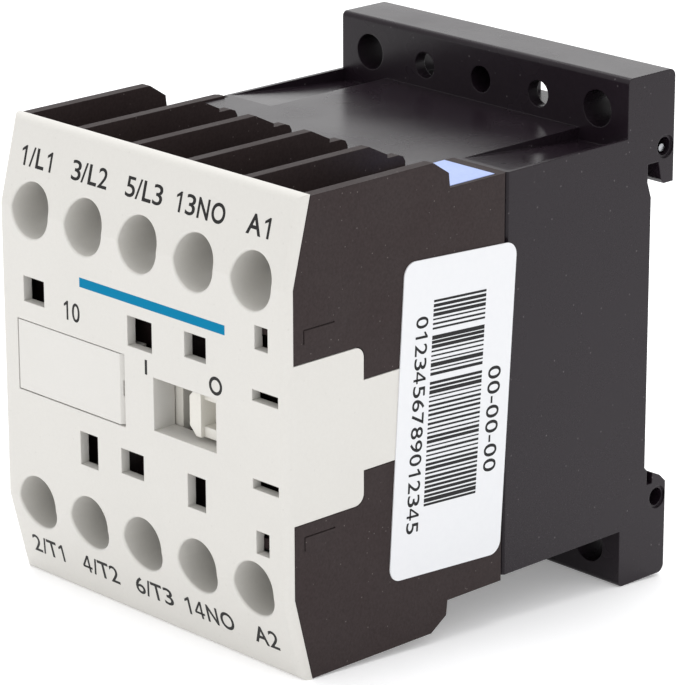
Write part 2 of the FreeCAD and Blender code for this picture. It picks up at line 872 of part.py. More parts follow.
def tag_points(margin):
    """The coil tag's outline: it steps round the end of the side wall."""
    left = dim["tag_left"] - margin
    step = dim["cover_width"] * 0.5 - dim["housing_wall"] - 0.1 + margin
    right = dim["tag_right"] + margin
    front = behind(dim["tag_front"] - margin)
    turn = behind(dim["side_chamfer_end"] + 0.3 - margin)
    rear = behind(dim["tag_rear"] + margin)
    return [(left, front), (step, front), (step, turn), (right, turn), (right, rear), (left, rear)]


def make_housing():
    """The black middle housing: terminal bays, fins, arc chambers and guide slots."""
    cuts = housing_cuts()
    outer = dim["cover_width"] * 0.5
    floor = outer - dim["wing_skin"] - dim["clearance"]
    for side, name in ((1, "right"), (-1, "left")):
        cuts.append(wing(f"wing_recess_{name}", side, 0.08, floor, outer + 1))
    low = dim["housing_deck"] - dim["tag_thick"]
    cuts.append(padded("tag_recess", "XY", tag_points(0.05), low, dim["housing_deck"] + 0.5))
    body = cut("housing_cut", housing_shell(), cuts)
    lips = []
    for row in ROWS:
        high = dim["base_half_height"] - dim["base_wall"] - 0.2
        z = mirror(row, high - dim["lip_thick"], high)
        depths = (dim["housing_rear"] - 0.5, dim["lip_rear"])
        lips.append(block(f"housing_lip_{ROW_NAMES[row]}", both(19), depths, z))
    node(fuse("housing_whole", [body] + lips), "contact_housing")


def make_tag():
    """The pale blue tag that marks the coil's column."""
    low = dim["housing_deck"] - dim["tag_thick"]
    node(padded("tag_body", "XY", tag_points(0), low, dim["housing_deck"] + 0.03), "coil_tag")


def make_label():
    """The paper label on the right side, stuck on a little askew."""
    half_long = dim["label_long"] * 0.5
    half_wide = dim["label_wide"] * 0.5
    corners = [(-half_wide, -half_long), (half_wide, -half_long)]
    corners += [(half_wide, half_long), (-half_wide, half_long)]
    side = dim["cover_width"] * 0.5
    body = padded("label_body", "YZ", corners, side, side + dim["label_thick"])
    edges = straight_edges(body, "x", corners)
    dressed(body, "Fillet", "label_corners", "Radius", dim["label_round"], edges)
    bind(body, ".Placement.Base.y", behind(dim["label_behind"]))
    bind(body, ".Placement.Base.z", dim["label_height"])
    turn = FreeCAD.Rotation(FreeCAD.Vector(1, 0, 0), -dim["label_tilt"].number)
    body.Placement = FreeCAD.Placement(body.Placement.Base, turn)
    node(body, "side_label")


# ---- base housing ---------------------------------------------------------------------


def base_profile():
    """The base from the side: box, mounting flanges, rail notch and the two claws."""
    half = dim["base_half_height"]
    top = dim["flange_half_height"]
    rear = dim["depth"]
    face = dim["rail_face"]
    front = dim["flange_front"]
    upper = [(face, 15.2), (53.7, 17.0), (53.7, dim["notch_top"]), (55.4, dim["notch_top"])]
    upper += [(55.87, 16.9), (56.3, 16.4), (rear, 16.4)]
    upper += [(rear, top), (front, top), (front, half), (dim["base_front"], half)]
    lower = [(dim["base_front"], -half), (front, -half), (front, -top), (rear, -top)]
    lower += [(rear, -18.25), (56.8, -17.3), (55.6, -16.75), (55.6, -18.0), (54.7, -18.0)]
    lower += [(54.7, -16.3), (face, -15.9)]
    return depth_outline(upper + lower)


def base_body():
    """The padded base with its long outer edges rounded."""
    body = padded("base_body", "YZ", base_profile(), *both(dim["base_half_width"]))
    top = dim["flange_half_height"]
    rear_edges = straight_edges(body, "x", [(size(0), top), (size(0), -top)])
    dressed(body, "Fillet", "flange_rear_round", "Radius", 0.9, rear_edges)
    front = behind(dim["flange_front"])
    front_edges = straight_edges(body, "x", [(front, top), (front, -top)])
    dressed(body, "Fillet", "flange_front_round", "Radius", 0.6, front_edges)
    half = dim["base_half_width"]
    joint = behind(dim["base_front"])
    side_edges = straight_edges(body, "z", [(half, joint), (-half, joint)])
    return dressed(body, "Chamfer", "base_joint_edge", "Size", dim["joint_chamfer"] * 0.6, side_edges)


def screw_ramp(name, side, row):
    """The groove that slopes down to a fixing hole, so that a driver can reach its screw."""
    half = dim["base_half_height"]
    start = dim["ramp_start"]
    rear = dim["flange_front"]
    points = [(start, half), (rear, dim["ramp_low"]), (rear, half + 1), (start, half + 1)]
    places = [(d, z if row > 0 else -size(z)) for d, z in points]
    x = mirror(side, dim["ramp_inner"], dim["ramp_outer"])
    return padded(name, "YZ", depth_outline(places), *x)


def flange_cuts(row):
    """The fixing holes with their ramps, the small holes and the cored pockets of one flange."""
    tag = ROW_NAMES[row]
    height = dim["fixing_spacing_tall"] * 0.5 * row
    front = dim["flange_front"]
    through = (front - 1, dim["depth"] + 1)
    cuts = []
    for side, name in ((1, "right"), (-1, "left")):
        x = dim["fixing_spacing_wide"] * 0.5 * side
        cuts.append(drill(f"fixing_hole_{tag}_{name}", dim["fixing_radius"], through, x, height))
        cuts.append(screw_ramp(f"screw_ramp_{tag}_{name}", side, row))
        pocket_x = mirror(side, dim["flange_pocket_inner"], dim["flange_pocket_outer"])
        half = dim["flange_pocket_tall"] * 0.5
        depths = (front + dim["flange_skin"], dim["depth"] + 1)
        cuts.append(block(f"flange_pocket_{tag}_{name}", pocket_x, depths, (height - half, height + half)))
    for place in (-1, 0, 1):
        x = dim["small_hole_pitch"] * place
        depths = (front - 1, dim["blind_hole_rear"])
        cuts.append(drill(f"small_hole_{tag}_{place + 2}", dim["small_hole_radius"], depths, x, height))
    return cuts


def side_hole_cuts():
    """The round holes in the flanges' ends, each with a shallow ring round it."""
    half = dim["base_half_width"]
    places = {
        "upper": (behind(dim["upper_hole_behind"]), dim["upper_hole_height"]),
        "lower": (behind(dim["lower_hole_behind"]), dim["lower_hole_height"]),
    }
    cuts = []
    for name, place in places.items():
        for side, end in (("right", 1), ("left", -1)):
            deep = mirror(end, half - dim["side_hole_deep"], half + 1)
            ring = mirror(end, half - dim["ring_depth"], half + 1)
            hole = f"side_hole_{name}_{side}"
            cuts.append(rod(hole, "x", dim["side_hole_radius"], *deep, place))
            cuts.append(rod(f"{hole}_ring", "x", dim["side_hole_ring"], *ring, place))
    return cuts


def make_base():
    """The black base: magnet box, flanges and rail claw, hollow from the front."""
    wall = dim["base_wall"]
    inner_z = dim["base_half_height"] - wall
    depths = (dim["base_front"] - 1, dim["base_floor_front"])
    cuts = [block("magnet_room", both(dim["base_half_width"] - wall), depths, both(inner_z))]
    channel_d = (dim["channel_front"], dim["channel_rear"])
    channel_z = (dim["notch_top"] - 0.5, dim["channel_top"])
    cuts.append(block("spring_channel", both(dim["channel_half_width"]), channel_d, channel_z))
    cuts += side_hole_cuts() + flange_cuts(1) + flange_cuts(-1)
    body = cut("base_cut", base_body(), cuts)
    solids = [body]
    middle = dim["magnet_behind"]
    half = dim["boss_half_depth"]
    for row in ROWS:
        tag = ROW_NAMES[row]
        x = (dim["boss_left"], dim["return_spring_left"] - 0.05)
        z = mirror(row, dim["boss_low"], inner_z + 0.5)
        solids.append(block(f"spring_seat_{tag}", x, (middle - half, middle + half), z))
        x = (dim["core_left"] + 0.6, dim["core_left"] + 3.4)
        z = mirror(row, dim["outer_leg_low"], dim["outer_leg_high"])
        depths = (middle + dim["stack"] * 0.5 + 0.1, dim["base_floor_front"] + 0.5)
        solids.append(block(f"core_rest_{tag}", x, depths, z))
        gap = dim["clearance"]
        x = (dim["housing_wall"] + gap - dim["cover_width"] * 0.5, dim["apron_right"])
        z = mirror(row, dim["apron_low"], dim["base_half_height"])
        solids.append(block(f"apron_{tag}", x, (dim["apron_front"], dim["base_front"] + 0.6), z))
        for side, name in ((1, "right"), (-1, "left")):
            x = mirror(side, dim["ramp_inner"] - 0.7, dim["base_half_width"] - wall + 0.5)
            z = mirror(row, dim["ramp_backing_low"], dim["base_half_height"] - wall + 0.05)
            depths = (dim["ramp_backing_front"], dim["base_floor_front"] + 0.5)
            solids.append(block(f"ramp_backing_{tag}_{name}", x, depths, z))
    node(fuse("base_whole", solids), "base_housing")


def make_rail_spring():
    """The bowed wire that bears on the rail's upper edge, its ends in the side holes."""
    d = {alias: length.number for alias, length in dim.items()}
    ends = (behind(dim["rail_spring_end_behind"]).number, d["rail_spring_end_height"])
    low = (behind(dim["rail_spring_low_behind"]).number, d["rail_spring_low_height"])
    stations = (
        (-d["rail_spring_half_width"], ends),
        (-d["rail_spring_bend_out"], ends),
        (-d["rail_spring_bend_in"], low),
        (d["rail_spring_bend_in"], low),
        (d["rail_spring_bend_out"], ends),
        (d["rail_spring_half_width"], ends),
    )
    points = [FreeCAD.Vector(x, y, z) for x, (y, z) in stations]
    path = rounded_path(points, d["rail_spring_bend_radius"])
    ring = Part.makeCircle(d["spring_wire_radius"], points[0], FreeCAD.Vector(1, 0, 0))
    item = doc.addObject("Part::Feature", "rail_spring_wire")
    item.Shape = path.makePipeShell([Part.Wire(ring)], True, True)
    node(item, "rail_spring")


# ---- moving comb and contacts ---------------------------------------------------------


def moving_face(column):
    """The x of a moving contact's face when the contactor is at rest."""
    return pole_x(column) - dim["fixed_face"] + dim["contact_gap"]


def bridge_left(column):
    """The x of a bridge's left side, which rests on its web of the comb."""
    return moving_face(column) + dim["tip_thick"]


def comb_solids():
    """The comb: two long rails, a web to the left of each bridge, and the right-hand end."""
    z = both(dim["comb_half_height"])
    x = (dim["comb_left"], dim["comb_right"])
    front = dim["comb_front"]
    rear = dim["comb_rear"]
    thick = dim["rail_thick"]
    solids = [block("comb_front_rail", x, (front, front + thick), z)]
    solids.append(block("comb_rear_rail", x, (rear - thick, rear), z))
    for column in COLUMNS:
        right = bridge_left(column) - 0.02
        left = right - dim["web_thick"]
        if column == COLUMNS[0]:
            left = dim["comb_left"]
        if column == COLUMNS[-1]:
            left, right = dim["yoke_left"], dim["comb_right"]
        solids.append(block(f"comb_web_{column + 3}", (left, right), (front, rear), z))
    return solids


def shuttle_solids():
    """The stem, the shuttle plate with its rib, and the indicator tab on it."""
    z = both(dim["shuttle_half_height"])
    stem_z = both(dim["stem_half_height"])
    stem_x = (dim["stem_left"], dim["stem_right"])
    front = dim["shuttle_front"]
    shuttle_x = (dim["shuttle_left"], dim["tab_right"])
    solids = [block("stem", stem_x, (front, dim["comb_front"] + 0.5), stem_z)]
    solids.append(block("shuttle_plate", shuttle_x, (front, dim["shuttle_rear"]), z))
    rib_x = (dim["shuttle_left"], dim["rib_right"])
    solids.append(block("shuttle_rib", rib_x, (dim["rib_front"], front + 0.1), z))
    left, right = dim["tab_left"], dim["tab_right"]
    low, high = dim["tab_bottom"], dim["tab_top"]
    nip = dim["tab_chamfer"]
    corners = [(left + nip, low), (right, low), (right, high), (left + nip, high)]
    corners += [(left, high - nip), (left, low + nip)]
    tab = padded("tab_body", "XZ", corners, behind(dim["tab_front"]), behind(front + 0.1))
    flange = dim["hook_flange"]
    hook_x = (dim["hook_left"], right + 1)
    hook_z = (low + flange, high - flange)
    hook = block("tab_hook", hook_x, (0, dim["hook_floor"]), hook_z)
    arms = block("tab_arms", hook_x, (0, dim["tab_front"] + dim["arm_drop"]), (low - 1, high + 1))
    solids.append(cut("tab_cut", tab, [hook, arms]))
    return solids


def yoke_solids():
    """The leg to the magnet, the cross bar for the springs and the armature's two lugs."""
    x = (dim["yoke_left"], dim["comb_right"])
    leg_z = both(dim["leg_half_height"])
    front = dim["yoke_front"]
    rear = dim["yoke_rear"]
    solids = [block("yoke_leg", x, (dim["comb_rear"] - 0.5, front + 1), leg_z)]
    solids.append(block("yoke_bar", x, (front, rear), both(dim["yoke_half_height"])))
    lug_x = (dim["yoke_left"] - dim["lug_reach"], dim["yoke_left"] + 0.5)
    lug_z = both(dim["lug_half_height"])
    solids.append(block("yoke_lug_front", lug_x, (front, front + dim["lug_thick"]), lug_z))
    solids.append(block("yoke_lug_rear", lug_x, (rear - dim["lug_thick"], rear), lug_z))
    return solids


def pin_x():
    """The x of the armature pin."""
    return dim["armature_right"] - dim["core_back"] * 0.5


def make_carrier():
    """The moulded comb that carries the bridges, the armature and the indicator tab."""
    whole = fuse("carrier_solid", comb_solids() + shuttle_solids() + yoke_solids())
    pin_hole = drill("carrier_pin_hole", dim["pin_radius"] + 0.03, (34, 50), pin_x(), dim["pin_height"])
    bar_cut_x = (dim["yoke_left"] - 1, dim["comb_right"] + 1)
    slot_x = (dim["rib_right"] + 0.1, dim["tab_left"] - 0.1)
    slot_d = (dim["shuttle_front"] - 0.5, dim["shuttle_rear"] + 0.5)
    slot_z = (-dim["shuttle_half_height"] - 1, dim["shuttle_slot_top"])
    notches = [pin_hole, block("shuttle_slot", slot_x, slot_d, slot_z)]
    for row in ROWS:
        for depths, name in (((34, 38.5), "front"), ((45.5, 50), "rear")):
            z = mirror(row, 8, 21)
            notches.append(block(f"yoke_notch_{ROW_NAMES[row]}_{name}", bar_cut_x, depths, z))
    node(cut("carrier_cut", whole, notches), "contact_carrier")


def make_bridge(column):
    """One bridge: a copper strip with a silver tip at each end."""
    left = bridge_left(column)
    z = both(dim["bridge_half_height"])
    depths = (dim["bridge_front"], dim["bridge_rear"])
    solids = [block(f"bridge_strip_{column + 3}", (left, left + dim["strip_thick"]), depths, z)]
    face = moving_face(column)
    for row in ROWS:
        across = (behind(dim["contact_behind"]), dim["tip_height"] * row)
        name = f"moving_tip_{column + 3}_{ROW_NAMES[row]}"
        solids.append(rod(name, "x", dim["tip_radius"], face, left + 0.1, across))
    node(fuse(f"bridge_solid_{column + 3}", solids), f"bridge_{column + 3}")


def make_contact_spring(column):
    """The spring between a bridge and the next web of the comb."""
    start = (bridge_left(column) + dim["strip_thick"]).number + 0.05
    if column == POLES[-1]:
        stop = dim["yoke_left"].number - 0.05
    else:
        stop = (bridge_left(column + 1) - dim["web_thick"]).number - 0.07
    radius = dim["contact_spring_radius"].number
    wire = dim["contact_spring_wire"].number
    turns = dim["contact_spring_turns"].number
    y = behind(dim["contact_behind"]).number
    name = f"contact_spring_{column + 3}"
    node(helix_spring(f"{name}_coil", radius, wire, turns, start, stop - start, y, 0), name)


def pad_solids(column, row):
    """A terminal's screw pad with the boss that holds its thread."""
    tag = f"{column + 3}_{ROW_NAMES[row]}"
    middle = pole_x(column)
    x = (middle - dim["pad_half_width"], middle + dim["pad_half_width"])
    front = dim["pad_front"]
    rear = front + dim["pad_thick"] - 0.05
    z = mirror(row, dim["pad_low"], dim["pad_high"])
    solids = [block(f"pad_{tag}", x, (front, rear), z)]
    height = dim["screw_row"] * row
    solids.append(drill(f"pad_boss_{tag}", dim["boss_radius"], (front + 0.2, dim["boss_rear"]), middle, height))
    return solids


def thread_hole(column, row):
    """The hole for the terminal screw through pad and boss."""
    tag = f"{column + 3}_{ROW_NAMES[row]}"
    height = dim["screw_row"] * row
    return drill(f"thread_{tag}", dim["thread_radius"], (10, 16), pole_x(column), height)


def make_terminal(column, row):
    """A pole's terminal: screw pad, blade along the chamber wall and fixed contact."""
    tag = f"{column + 3}_{ROW_NAMES[row]}"
    left = pole_x(column) - dim["pad_half_width"]
    x = (left, left + dim["pad_thick"])
    solids = pad_solids(column, row)
    blade_z = mirror(row, dim["pad_low"], dim["blade_high"])
    solids.append(block(f"blade_{tag}", x, (dim["pad_front"], dim["blade_rear"]), blade_z))
    arm_z = mirror(row, dim["blade_low"], dim["pad_low"] + 0.5)
    solids.append(block(f"arm_{tag}", x, (dim["arm_front"], dim["blade_rear"]), arm_z))
    face = pole_x(column) - dim["fixed_face"]
    across = (behind(dim["contact_behind"]), dim["tip_height"] * row)
    solids.append(rod(f"fixed_tip_{tag}", "x", dim["tip_radius"], x[1] - 0.2, face, across))
    whole = cut(f"terminal_cut_{tag}", fuse(f"terminal_{tag}", solids), [thread_hole(column, row)])
    node(whole, f"{ROW_NAMES[row]}_terminal_{column + 3}")


def make_coil_terminal(row):
    """A coil terminal: screw pad and a blade back to the bobbin."""
    column = COLUMNS[-1]
    solids = pad_solids(column, row)
    right = dim["coil_blade_left"] + dim["strip_thick"]
    pad_right = pole_x(column) + dim["pad_half_width"] - 0.2
    z = mirror(row, dim["pad_low"] + 0.3, dim["blade_high"] - 0.6)
    front = (dim["pad_front"], dim["pad_front"] + dim["pad_thick"] - 0.05)
    solids.append(block(f"coil_link_{ROW_NAMES[row]}", (pad_right, right), front, z))
    blade_d = (dim["pad_front"], dim["coil_blade_rear"])
    solids.append(block(f"coil_blade_{ROW_NAMES[row]}", (dim["coil_blade_left"], right), blade_d, z))
    name = "a1" if row > 0 else "a2"
    whole = cut(f"coil_terminal_cut_{name}", fuse(f"coil_solid_{name}", solids), [thread_hole(column, row)])
    node(whole, f"coil_terminal_{name}")


def screw_points():
    """Half the section of a pan head screw along Y."""
    head = dim["head_radius"]
    front = behind(dim["head_front"])
    rear = behind(dim["head_rear"])
    tip = behind(dim["screw_rear"])
    shank = dim["screw_radius"]
    points = [(size(0), front), (head - 0.5, front), (head - 0.12, front + 0.28), (head, front + 0.8)]
    points += [(head, rear), (shank, rear), (shank, tip - 0.5), (shank - 0.5, tip), (size(0), tip)]
    return points


def make_screw(column, row):
    """A terminal screw with a slot and a cross recess, and its captive clamp washer."""
    number = column + 3 if row > 0 else column + 8
    x = pole_x(column)
    z = dim["screw_row"] * row
    body = turned(f"screw_body_{number}", screw_points())
    bind(body, ".Placement.Base.x", x)
    bind(body, ".Placement.Base.z", z)
    half = dim["slot_width"] * 0.5
    long = dim["head_radius"] + 1
    cross = dim["cross_half"]
    front = dim["head_front"]
    slot_d = (front - 1, front + dim["slot_depth"])
    slot = block(f"screw_slot_{number}", (x - long, x + long), slot_d, (z - half, z + half))
    deep = (front - 1, front + dim["slot_depth"] + 0.5)
    upright = block(f"screw_cross_{number}", (x - half, x + half), deep, (z - cross, z + cross))
    level = block(f"screw_bar_{number}", (x - cross, x + cross), deep, (z - half, z + half))
    node(cut(f"screw_cut_{number}", body, [slot, upright, level]), f"terminal_screw_{number}")
    side = dim["washer_half"]
    lip = dim["washer_lip"]
    depths = (dim["washer_front"], dim["washer_rear"] - lip)
    plate = block(f"washer_plate_{number}", (x - side, x + side), depths, (z - side, z + side))
    edges = []
    for end in ROWS:
        low, high = mirror(end, side - 0.7, side)
        lips = (dim["washer_front"] + 0.1, dim["washer_rear"])
        name = f"washer_lip_{number}_{ROW_NAMES[end]}"
        edges.append(block(name, (x - side, x + side), lips, (z + low, z + high)))
    hole = drill(f"washer_hole_{number}", dim["washer_hole_radius"], (10, 13), x, z)
    whole = cut(f"washer_cut_{number}", fuse(f"washer_solid_{number}", [plate] + edges), [hole])
    node(whole, f"clamp_washer_{number}")


# ---- magnet and springs ---------------------------------------------------------------


def e_outline(back, face, near):
    """An E of laminations in the X-Z plane: back plate at one end, three pole faces at the other."""
    centre = dim["centre_leg"]
    low = dim["outer_leg_low"]
    high = dim["outer_leg_high"]
    return [
        (back, -high), (face, -high), (face, -low), (near, -low), (near, -centre), (face, -centre),
        (face, centre), (near, centre), (near, low), (face, low), (face, high), (back, high),
    ]


def stack_span():
    """The y of the two sides of the lamination stack."""
    half = dim["stack"] * 0.5
    return behind(dim["magnet_behind"] - half), behind(dim["magnet_behind"] + half)


def make_core():
    """The fixed E core, its two copper shading rings and the rubber pad behind it."""
    left = dim["core_left"]
    face = dim["core_face"]
    near = left + dim["core_back"]
    core = padded("core_body", "XZ", e_outline(left, face, near), *stack_span())
    gap = dim["ring_front_gap"]
    bar = dim["ring_bar"]
    ring_x = (face - gap - dim["ring_long"], face - gap)
    middle = dim["magnet_behind"]
    half = dim["stack"] * 0.5
    slots = []
    rings = []
    for row in ROWS:
        tag = ROW_NAMES[row]
        slot_x = (ring_x[0] - 0.05, face + 0.5)
        slot_z = mirror(row, dim["ring_low"] - 0.05, dim["ring_low"] + bar + 0.05)
        slots.append(block(f"ring_slot_{tag}", slot_x, (middle - half - 1, middle + half + 1), slot_z))
        outer_d = (middle - half - bar, middle + half + bar)
        outer = block(f"ring_outer_{tag}", ring_x, outer_d, mirror(row, dim["ring_low"], dim["ring_high"]))
        inner_d = (middle - half - 0.05, middle + half + 0.05)
        inner_z = mirror(row, dim["ring_low"] + bar, dim["outer_leg_high"] + 0.05)
        inner = block(f"ring_inner_{tag}", (ring_x[0] - 1, ring_x[1] + 1), inner_d, inner_z)
        rings.append(cut(f"shading_ring_{tag}", outer, [inner]))
    node(cut("core_cut", core, slots), "fixed_core")
    node(group("shading_ring_pair", rings), "shading_rings")
    pad_x = (dim["pad_left"], left - 0.02)
    pad = block("core_pad_box", pad_x, (middle - half, middle + half), both(dim["outer_leg_high"] - 1))
    node(pad, "core_pad")


def make_armature():
    """The moving E of laminations, with the pin that holds it to the comb."""
    right = dim["armature_right"]
    face = dim["core_face"] + dim["air_gap"]
    near = dim["armature_back_left"]
    body = padded("armature_body", "XZ", e_outline(right, face, near), *stack_span())
    hole = drill("armature_pin_hole", dim["pin_radius"] + 0.03, (34, 50), pin_x(), dim["pin_height"])
    node(cut("armature_cut", body, [hole]), "armature")
    ends = (dim["yoke_front"] - 0.3, dim["yoke_rear"] + 0.3)
    node(drill("armature_pin_rod", dim["pin_radius"], ends, pin_x(), dim["pin_height"]), "armature_pin")


def make_coil():
    """The bobbin, its winding and the tape round the winding."""
    middle = dim["magnet_behind"]
    left = dim["bobbin_left"]
    right = dim["bobbin_right"]
    thick = dim["bobbin_flange_thick"]

    def square(name, x, half, half_z):
        return block(name, x, (middle - half, middle + half), both(half_z))

    flange = (dim["bobbin_flange_wide"], dim["bobbin_flange_tall"])
    tube = dim["bobbin_tube"]
    bore = dim["bobbin_bore"]
    solids = [square("bobbin_tube_box", (left, right), tube, tube)]
    solids.append(square("bobbin_left_flange", (left, left + thick), *flange))
    solids.append(square("bobbin_right_flange", (right - thick, right), *flange))
    hole = square("bobbin_bore_box", (left - 1, right + 1), bore, bore)
    node(cut("bobbin_cut", fuse("bobbin_solid", solids), [hole]), "bobbin")
    x = (left + thick + 0.1, right - thick - 0.1)
    half = dim["winding_half"]
    tape = half + dim["tape_thick"]
    round_off = dim["winding_round"]
    wound = rounded_square("winding_outer", x, half, round_off)
    hollow = square("winding_hollow", (left, right), tube + 0.05, tube + 0.05)
    node(cut("winding_cut", wound, [hollow]), "coil_winding")
    skin = rounded_square("tape_outer", x, tape, round_off + dim["tape_thick"])
    inside = rounded_square("tape_inner", (left, right), half + 0.02, round_off)
    node(cut("tape_cut", skin, [inside]), "winding_tape")


def rounded_square(name, x, half, radius):
    """A square bar along X about the magnet's axis, with its long edges rounded."""
    middle = dim["magnet_behind"]
    corners = [(-half, -half), (half, -half), (half, half), (-half, half)]
    points = [(behind(middle + a), b) for a, b in corners]
    body = padded(name, "YZ", points, *x)
    return dressed(body, "Fillet", f"{name}_round", "Radius", radius, straight_edges(body, "x", points))


def make_return_springs():
    """The two springs that push the comb back when the coil lets go."""
    start = dim["return_spring_left"].number
    length = dim["yoke_left"].number - 0.05 - start
    radius = dim["return_spring_radius"].number
    wire = dim["return_spring_wire"].number
    turns = dim["return_spring_turns"].number
    y = behind(dim["magnet_behind"]).number
    coils = []
    for row in ROWS:
        z = dim["return_spring_height"].number * row
        name = f"return_spring_{ROW_NAMES[row]}"
        coils.append(helix_spring(name, radius, wire, turns, start, length, y, z))
    node(group("return_spring_pair", coils), "return_springs")


def write_parts():
    """Recomputes, checks every object and writes one STEP file for each sub-part."""
    doc.recompute()
    failed = [o.Name for o in doc.Objects if "Invalid" in o.State or "Error" in o.State]
    for item in finished:
        shape = item.Shape
        if shape.isNull() or not shape.isValid() or not shape.Solids:
            failed.append(item.Label)
    if failed:
        raise RuntimeError(f"these objects failed: {failed}")
    os.makedirs("parts", exist_ok=True)
    for old in os.listdir("parts"):
        os.remove(os.path.join("parts", old))
    for item in finished:
        item.Shape.exportStep(os.path.join("parts", f"{item.Label}.step"))
        solids = len(item.Shape.Solids)
        print(f"{item.Label}: {solids} solid(s), {item.Shape.Volume / 1000:.3f} cm3")
    print(len(finished), "nodes")


make_cover()
make_marker()
make_housing()
make_tag()
make_label()
make_base()
make_rail_spring()
make_carrier()
for pole in POLES:
    make_bridge(pole)
    make_contact_spring(pole)
    for side_row in ROWS:
        make_terminal(pole, side_row)
for side_row in ROWS:
    make_coil_terminal(side_row)
    for place in COLUMNS:
        make_screw(place, side_row)
make_core()
make_armature()
make_coil()
make_return_springs()
write_parts()
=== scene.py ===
import math

import bmesh
import bpy
from mathutils import Matrix, Vector


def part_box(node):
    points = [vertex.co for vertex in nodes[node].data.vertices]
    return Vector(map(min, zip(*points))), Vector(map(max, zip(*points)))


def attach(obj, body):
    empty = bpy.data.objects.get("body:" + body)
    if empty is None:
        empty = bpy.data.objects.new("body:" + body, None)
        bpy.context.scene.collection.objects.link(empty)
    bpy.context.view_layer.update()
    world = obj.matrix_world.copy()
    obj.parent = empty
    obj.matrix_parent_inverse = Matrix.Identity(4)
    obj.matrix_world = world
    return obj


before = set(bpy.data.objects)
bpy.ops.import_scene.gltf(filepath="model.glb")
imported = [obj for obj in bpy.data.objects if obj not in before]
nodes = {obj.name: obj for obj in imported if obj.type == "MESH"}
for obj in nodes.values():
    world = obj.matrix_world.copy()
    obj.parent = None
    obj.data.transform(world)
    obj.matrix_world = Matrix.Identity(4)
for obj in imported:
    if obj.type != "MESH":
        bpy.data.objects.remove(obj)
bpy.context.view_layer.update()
mm = 0.001
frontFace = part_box("front_cover")[0].y  # the flat of the front, in metres
print("frame loaded:", len(nodes), "nodes")

view = {
    "place": (0.28468, -0.29995, 0.12942),  # metres
    "forward": (-0.68769, 0.65450, -0.31417),
    "up": (-0.22557, 0.21870, 0.94936),
    "lens": 199.98,  # millimetres, as is the sensor's width
    "sensor": 36,
    "clip": (0.02, 10),  # metres
}


def makeCamera():
    lens = bpy.data.cameras.new("tableCamera")
    lens.lens = view["lens"]
    lens.sensor_width = view["sensor"]
    lens.clip_start, lens.clip_end = view["clip"]
    camera = bpy.data.objects.new("tableCamera", lens)
    bpy.context.scene.collection.objects.link(camera)
    forward = Vector(view["forward"]).normalized()
    right = forward.cross(Vector(view["up"])).normalized()
    up = right.cross(forward)
    turn = Matrix((right, up, -forward)).transposed()
    camera.matrix_world = Matrix.Translation(view["place"]) @ turn.to_4x4()
    bpy.context.scene.camera = camera


studio = {
    "sky": 0.93,
    "lamps": {  # place, target, size in metres, power in watts
        "overheadBox": ((-0.12, 0.10, 0.62), (0, -0.02, 0), 0.55, 2.4),
        "frontBox": ((-0.05, -0.75, 0.30), (0, -0.03, 0), 0.45, 0.5),
        "rightBox": ((0.75, -0.05, 0.22), (0, -0.03, 0), 0.40, 0.6),
        "backBox": ((-0.62, 0.55, 0.33), (0, -0.02, 0.02), 0.50, 0.35),
    },
    "floorLow": (-0.0544, -0.0258),  # y and z where the front's lower edge stands
    "floorBack": (-0.0074, -0.0290),  # y and z where the rear flange stands
    "floorSize": 3.0,  # metres
}


def makeStudio():
    scene = bpy.context.scene
    scene.view_settings.view_transform = "Standard"
    scene.view_settings.look = "None"
    world = bpy.data.worlds.new("whiteTent")
    world.use_nodes = True
    sky = world.node_tree.nodes["Background"]
    sky.inputs["Color"].default_value = (1, 1, 1, 1)
    sky.inputs["Strength"].default_value = studio["sky"]
    scene.world = world
    for name, (place, target, size, power) in studio["lamps"].items():
        lamp = bpy.data.lights.new(name, "AREA")
        lamp.size = size
        lamp.energy = power
        holder = bpy.data.objects.new(name, lamp)
        scene.collection.objects.link(holder)
        turn = (Vector(target) - Vector(place)).to_track_quat("-Z", "Y")
        holder.matrix_world = Matrix.Translation(place) @ turn.to_matrix().to_4x4()


def makeFloor(material):
    (y0, z0), (y1, z1) = studio["floorLow"], studio["floorBack"]
    slope = (z1 - z0) / (y1 - y0)
    half = studio["floorSize"] / 2
    outline = ((-half, -half), (half, -half), (half, half), (-half, half))
    corners = [(x, y, z0 + slope * (y - y0)) for x, y in outline]
    mesh = bpy.data.meshes.new("studio_floor")
    mesh.from_pydata(corners, [], [(0, 1, 2, 3)])
    floor = bpy.data.objects.new("studio_floor", mesh)
    bpy.context.scene.collection.objects.link(floor)
    mesh.materials.append(material)


makeCamera()
makeStudio()
print("camera and lights set")


def linear(hexCode):  # sRGB hex to a linear colour
    parts = [int(hexCode[i:i + 2], 16) / 255 for i in (0, 2, 4)]
    return [p / 12.92 if p < 0.04045 else ((p + 0.055) / 1.055) ** 2.4 for p in parts] + [1.0]


def addNode(tree, kind, settings=None, links=None):
    node = tree.nodes.new(kind)
    for key, value in (settings or {}).items():
        if isinstance(key, str) and hasattr(node, key):
            setattr(node, key, value)
        else:
            node.inputs[key].default_value = value
    for key, source in (links or {}).items():
        tree.links.new(source, node.inputs[key])
    return node


def startMaterial(name):
    material = bpy.data.materials.new(name)
    material.use_nodes = True
    tree = material.node_tree
    tree.nodes.clear()
    place = addNode(tree, "ShaderNodeTexCoord").outputs["Object"]
    return material, tree, place


def finishMaterial(tree, settings, links):
    shader = addNode(tree, "ShaderNodeBsdfPrincipled", settings, links)
    addNode(tree, "ShaderNodeOutputMaterial", None, {"Surface": shader.outputs["BSDF"]})


